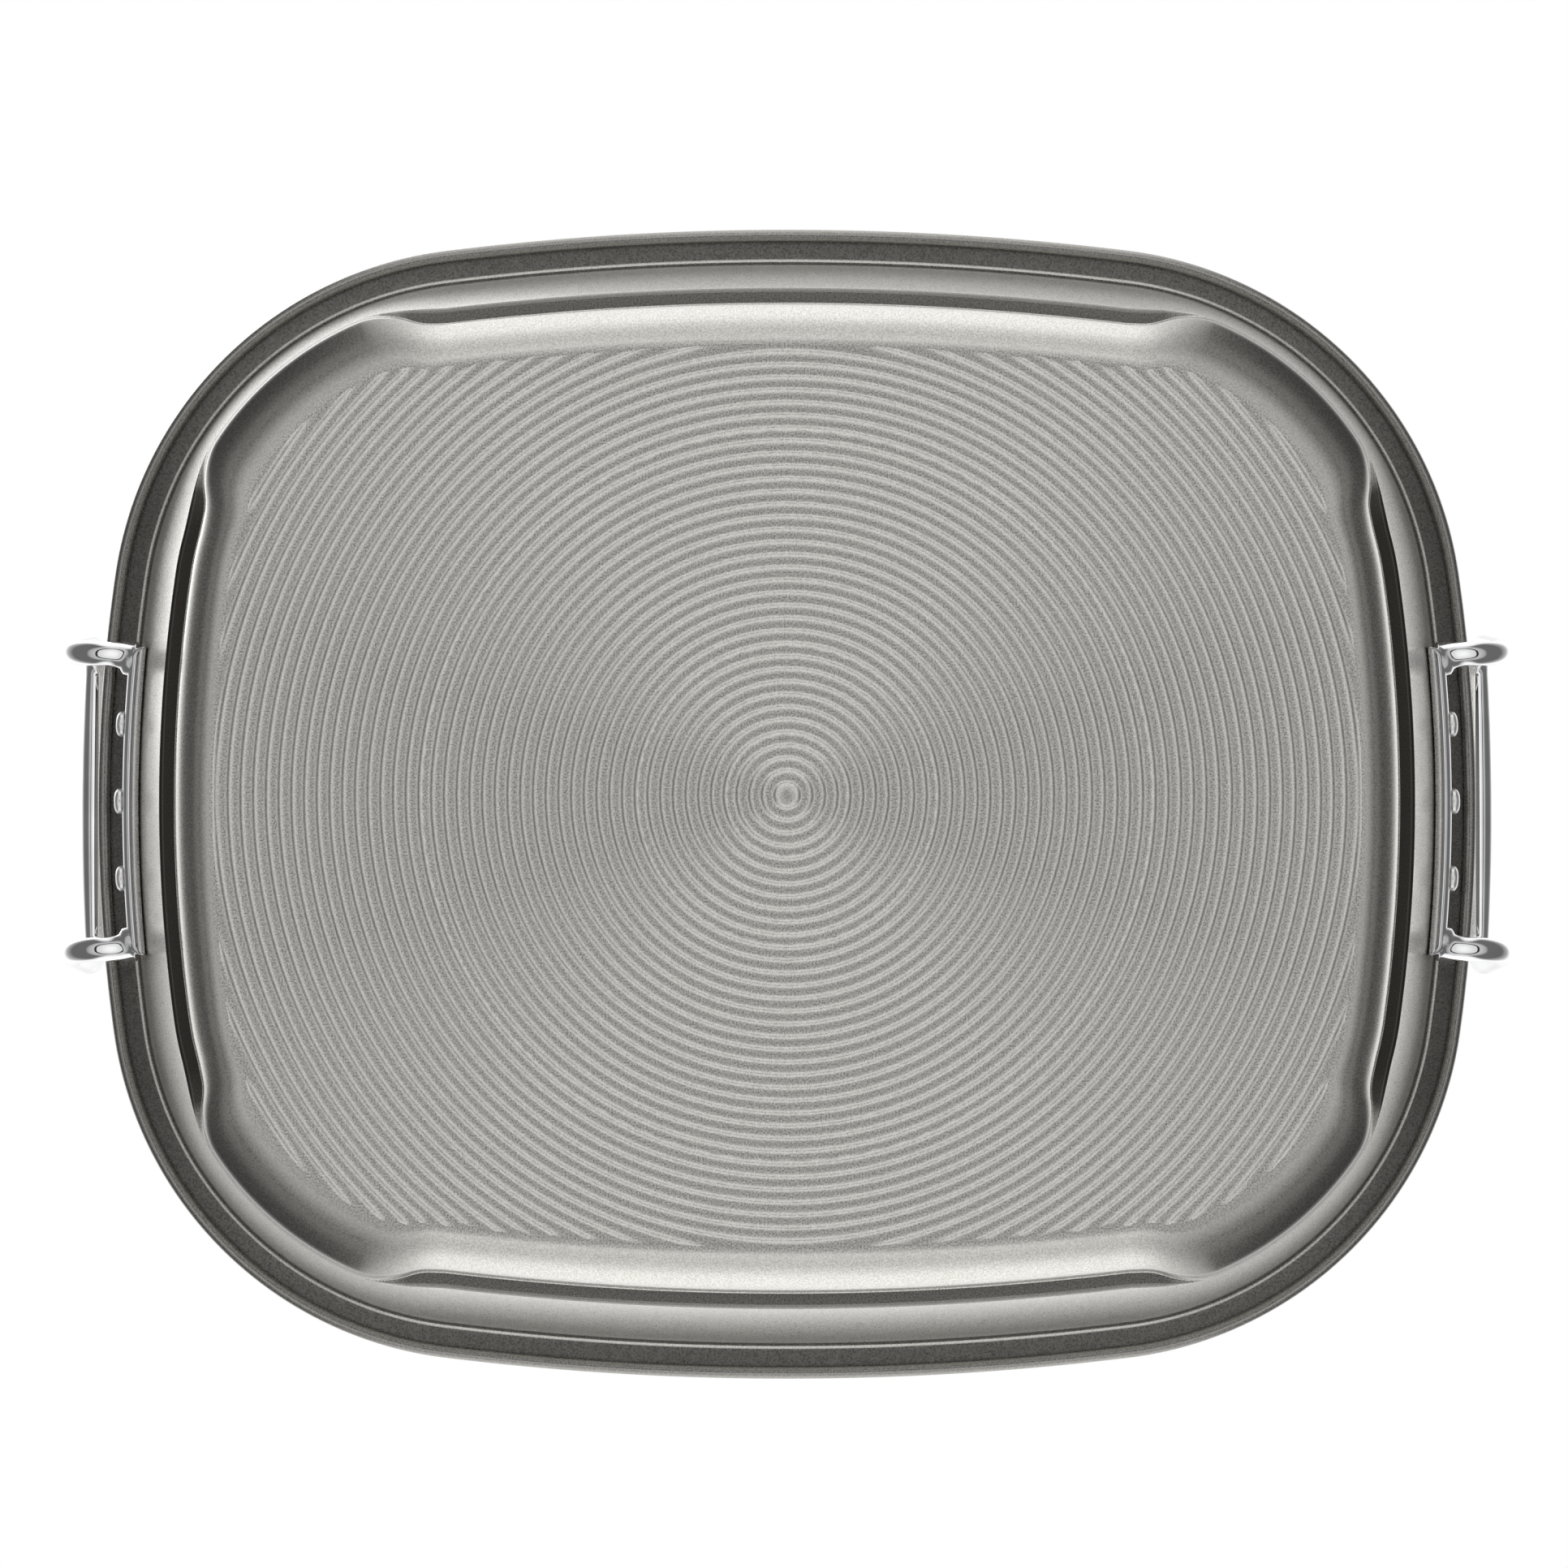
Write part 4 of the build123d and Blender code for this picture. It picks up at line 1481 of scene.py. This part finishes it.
@dataclass
class WireRack:
    """The loose rack: a closed frame wire on the ledges, bearers, cross wires and four sleeves for the bails."""

    pan: PressedPan
    frame_radius: float = 0.0025
    bearer_radius: float = 0.002
    cross_radius: float = 0.0015
    cross_count: int = 17
    weld: tuple[float, float, float] = (0.0015, 0.0017, 0.0006)
    weld_inset: float = 0.0004
    straight_run: float = 0.02
    sleeve_radius: float = 0.0032
    sleeve_bore: float = 0.00205
    sleeve_edge: float = 0.0004
    sleeve_sides: int = 32
    frame_every: int = 3

    def frame_path(self) -> np.ndarray:
        """Lay the frame's path along the walls.

        Returns:
            Its points.
        """
        low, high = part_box("rack_frame")
        inset = self.pan.outline.half_length - high.x + self.frame_radius
        return self.pan.place(inset, (low.z + high.z) / 2, every=self.frame_every)

    def straight(self, node: str, radius: float, name: str, axis: int) -> bpy.types.Mesh:
        """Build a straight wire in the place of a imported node.

        Args:
            node: The node.
            radius: The wire's radius.
            name: The mesh's name.
            axis: 0 if it runs along X, 1 if along Y.

        Returns:
            The mesh.
        """
        low, high = (np.array(corner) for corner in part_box(node))
        start, end = (low + high) / 2, (low + high) / 2
        start[axis], end[axis] = low[axis], high[axis]
        return wire(divided(np.array([start, end]), self.straight_run), radius, name)

    def welds(self, node: str, across: Sequence[float]) -> list[bpy.types.Mesh]:
        """Build the spot welds under a cross wire.

        Args:
            node: The cross wire's node.
            across: The welds' places along Y.

        Returns:
            The meshes.
        """
        low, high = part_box(node)
        return [nugget(((low.x + high.x) / 2, place, low.z), self.weld, "weld") for place in across]

    def sleeve(self, node: str, name: str) -> bpy.types.Mesh:
        """Build a sleeve with softened edges.

        Args:
            node: Its node.
            name: The mesh's name.

        Returns:
            The mesh.
        """
        low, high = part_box(node)
        long, bore, wide, edge = high.y - low.y, self.sleeve_bore, self.sleeve_radius, self.sleeve_edge
        section = [(bore, 0), (bore, long / 2), (bore, long), (wide - edge, long)]
        section += [(wide, long - edge), (wide, long / 2), (wide, edge), (wide - edge, 0)]
        origin = Vector(((low.x + high.x) / 2, low.y, (low.z + high.z) / 2))
        return turned(section, origin, Vector((0, 1, 0)), name, self.sleeve_sides, True)

    def build(self, workshop: Workshop) -> None:
        """Make the rack's pieces.

        Args:
            workshop: What dresses them.
        """

        def place(mesh: bpy.types.Mesh, node: str) -> None:
            """Make a piece that stands for a node."""
            workshop.piece(mesh, PLATED_WIRE, Body.RACK, Slot.WIRE, [node])

        place(wire(self.frame_path(), self.frame_radius, "frame_wire", closed=True), "rack_frame")
        bearers = []
        for row in ROWS:
            node = f"rack_bearer_{row}"
            low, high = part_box(node)
            bearers.append((low.y + high.y) / 2)
            place(self.straight(node, self.bearer_radius, f"bearer_{row}", 0), node)
        for number in range(1, self.cross_count + 1):
            node = f"rack_cross_wire_{number:02d}"
            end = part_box(node)[1].y - self.weld_inset
            wired = self.straight(node, self.cross_radius, f"cross_wire_{number:02d}", 1)
            place(united(wired, self.welds(node, [*bearers, end, -end])), node)
        for side in Side:
            for row in ("front", "rear"):
                name = f"{side.word}_{row}"
                place(self.sleeve(f"rack_eye_{name}", f"sleeve_{name}"), f"rack_eye_{name}")


@dataclass
class FoldingBail:
    """A folding handle of the rack: a bent wire whose two pins turn in the sleeves."""

    side: Side
    pivot: tuple[float, float] = (0.160, 0.0324)
    tilt: float = math.radians(1.134)
    radius: float = 0.002
    half_width: float = 0.048
    length: float = 0.048
    pin_length: float = 0.020
    pin_bend: float = 0.006
    corner_bend: float = 0.014
    run: float = 0.006
    arc_steps: int = 12
    sides: int = 24

    def build(self, workshop: Workshop) -> None:
        """Make the bail.

        Args:
            workshop: What dresses it.
        """
        out = np.array([-self.side.value * math.cos(self.tilt), 0, -math.sin(self.tilt)])
        across = np.array([0, 1, 0])
        origin = np.array([self.side.value * self.pivot[0], 0, self.pivot[1]])
        end = self.half_width + self.pin_length
        corners = [(0, end), (0, self.half_width), (self.length, self.half_width)]
        corners += [(reach, -place) for reach, place in reversed(corners)]
        path = rounded_path(
            [origin + reach * out + place * across for reach, place in corners],
            [self.pin_bend, self.corner_bend, self.corner_bend, self.pin_bend],
            self.arc_steps,
        )
        mesh = wire(divided(path, self.run), self.radius, f"bail_{self.side.word}", sides=self.sides)
        body = Body.LEFT_BAIL if self.side is Side.LEFT else Body.RIGHT_BAIL
        workshop.piece(mesh, PLATED_WIRE, body, Slot.WIRE, [f"rack_handle_{self.side.word}"])


# Studio


@dataclass(frozen=True)
class Studio:
    """The camera, the floor and the light."""

    camera_place: tuple[float, float, float] = (-0.00093, 0.062, -2.0)
    camera_tilt: float = math.radians(1.87)
    lens: float = 152.2
    sensor: float = 36.0
    sight: tuple[float, float] = (0.05, 50.0)
    lengthways_light: tuple[tuple[float, float], ...] = (
        (0, 0.12), (8, 0.12), (9, 0.01), (15, 0.01), (16, 1.35), (26, 1.0), (45, 0.82),
        (60, 0.96), (86, 1.4), (120, 1.35), (142, 1.1), (180, 0.9),
    )
    crossways_light: tuple[tuple[float, float], ...] = (
        (0, 0.2), (8, 0.2), (9, 0.01), (13, 0.01), (14, 1.25), (20, 1.1), (30, 0.85), (37, 0.8), (38, 0.02), (42, 0.02),
        (43, 0.65), (56, 0.45), (62, 0.16), (100, 0.16), (118, 0.5), (134, 1.25), (180, 0.95),
    )
    light_edge: tuple[float, float] = (0.88, 0.985)
    floor_size: float = 40.0
    floor_drop: float = 0.0002
    floor_colour: tuple[float, float, float] = (0.86, 0.86, 0.85)
    lamp_place: tuple[float, float, float] = (-0.9, -0.8, 1.9)
    lamp_aim: tuple[float, float, float] = (0.0, 0.0, 0.03)
    lamp_size: float = 1.6
    lamp_power: float = 9.0

    def build(self) -> None:
        """Set up the whole studio."""
        self.camera()
        self.floor()
        self.world()
        self.lamps()

    def camera(self) -> None:
        """Put the camera under the pan, looking up, as in the photograph."""
        data = bpy.data.cameras.new("camera")
        data.lens = self.lens
        data.sensor_width = self.sensor
        data.clip_start, data.clip_end = self.sight
        camera = placed("camera", data)
        camera.location = self.camera_place
        camera.rotation_euler = (math.pi + self.camera_tilt, 0.0, 0.0)
        bpy.context.scene.camera = camera

    def floor(self) -> None:
        """Lay a pale floor: the camera sees it from above only, and light passes through it."""
        half = self.floor_size / 2
        mesh = bpy.data.meshes.new("studio_floor")
        mesh.from_pydata([(-half, -half, 0), (half, -half, 0), (half, half, 0), (-half, half, 0)], [], [(0, 1, 2, 3)])
        floor = placed("studio_floor", mesh)
        floor.location.z = -self.floor_drop
        floor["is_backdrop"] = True
        material = bpy.data.materials.new("studio_floor")
        material.use_nodes = True
        tree = material.node_tree
        tree.nodes.clear()
        paint = new_node(tree, "BsdfDiffuse", {"Color": (*self.floor_colour, 1.0)}).outputs[0]
        clear = new_node(tree, "BsdfTransparent").outputs[0]
        seen = new_node(tree, "LightPath").outputs["Is Camera Ray"]
        back = new_node(tree, "NewGeometry").outputs["Backfacing"]
        front = new_node(tree, "Math", {0: seen, 1: back}, operation="SUBTRACT", use_clamp=True).outputs[0]
        mix = new_node(tree, "MixShader", {"Fac": front, 1: clear, 2: paint}).outputs[0]
        new_node(tree, "OutputMaterial", {"Surface": mix})
        mesh.materials.append(material)

    def world(self) -> None:
        """Surround the pan with soft light, which the metal mirrors.

        It is dark straight below the pan, bright towards the front and the rear, and dim at the two sides, where a
        narrow dark line crosses it too. The camera and clear materials see plain white instead.
        """
        world = bpy.data.worlds.new("studio")
        bpy.context.scene.world = world
        world.use_nodes = True
        tree = world.node_tree
        place = new_node(tree, "TexCoord").outputs["Generated"]
        parts = new_node(tree, "SeparateXYZ", {0: place}).outputs

        def step(
            operation: str, first: bpy.types.NodeSocket | float, second: bpy.types.NodeSocket | float = 0.0
        ) -> bpy.types.NodeSocket:
            """Add one step of arithmetic.

            Args:
                operation: What it does.
                first: Its first value.
                second: Its second value, if it takes one.

            Returns:
                The result.
            """
            return new_node(tree, "Math", {0: first, 1: second}, operation=operation).outputs[0]

        fall = step("DIVIDE", step("ARCCOSINE", step("MULTIPLY", parts["Z"], -1.0)), math.pi)
        level = step("SQRT", step("ADD", *(step("POWER", parts[axis], 2.0) for axis in "XY")))
        lengthways = step("DIVIDE", step("ABSOLUTE", parts["Y"]), step("MAXIMUM", level, 1e-4))
        side = spread(tree, lengthways, self.light_edge, shape="SMOOTHSTEP")
        ends = [self.ramp(tree, fall, stops) for stops in (self.crossways_light, self.lengthways_light)]
        rays = new_node(tree, "LightPath").outputs
        shown = step("ADD", rays["Is Camera Ray"], rays["Is Transmission Ray"])
        light = blend(tree, shown, blend(tree, side, *ends), WHITE)
        feed(tree, tree.nodes["Background"], {"Strength": 1.0, "Color": light})

    def ramp(
        self, tree: bpy.types.NodeTree, value: bpy.types.NodeSocket, stops: Sequence[tuple[float, float]]
    ) -> bpy.types.NodeSocket:
        """Add a ramp of greys over the angle from straight down.

        Args:
            tree: The world's node tree.
            value: The angle, as a share of a half turn.
            stops: The angle in degrees and the grey of each stop.

        Returns:
            The grey.
        """
        node = new_node(tree, "ValToRGB", {"Fac": value})
        elements = node.color_ramp.elements
        while len(elements) > 1:
            elements.remove(elements[-1])
        for number, (angle, grey) in enumerate(stops):
            stop = elements[0] if number == 0 else elements.new(angle / HALF_TURN)
            stop.position = angle / HALF_TURN
            stop.color = (grey, grey, grey, 1.0)
        return node.outputs["Color"]

    def lamps(self) -> None:
        """Hang one large soft lamp over the pan, for the shadow on the floor."""
        data = bpy.data.lights.new("overhead", "AREA")
        data.shape = "DISK"
        data.size = self.lamp_size
        data.energy = self.lamp_power
        lamp = placed("overhead", data)
        lamp.location = self.lamp_place
        lamp.rotation_euler = (Vector(self.lamp_aim) - lamp.location).to_track_quat("-Z", "Y").to_euler()


def corners(box: tuple[Vector, Vector]) -> list[list[float]]:
    """A box's two corners as plain lists."""
    return [list(map(float, corner)) for corner in box]


def main() -> None:
    """Build every piece in order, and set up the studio."""
    logging.basicConfig(level=logging.INFO, format="%(name)s: %(message)s")
    packed = corners(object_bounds())
    scene = bpy.context.scene
    scene.view_settings.view_transform = "Standard"
    Studio().build()
    low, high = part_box("pan_body")
    outline = PanOutline((high.x - low.x) / 2, (high.y - low.y) / 2)
    workshop = Workshop()
    pan = PressedPan(outline, high.z)
    pan.build(workshop)
    for side in Side:
        LoopHandle(side, pan).build(workshop)
    WireRack(pan).build(workshop)
    for side in Side:
        FoldingBail(side).build(workshop)
    {"cad": packed, "visual": corners(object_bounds())}


if __name__ == "__main__":
    main()
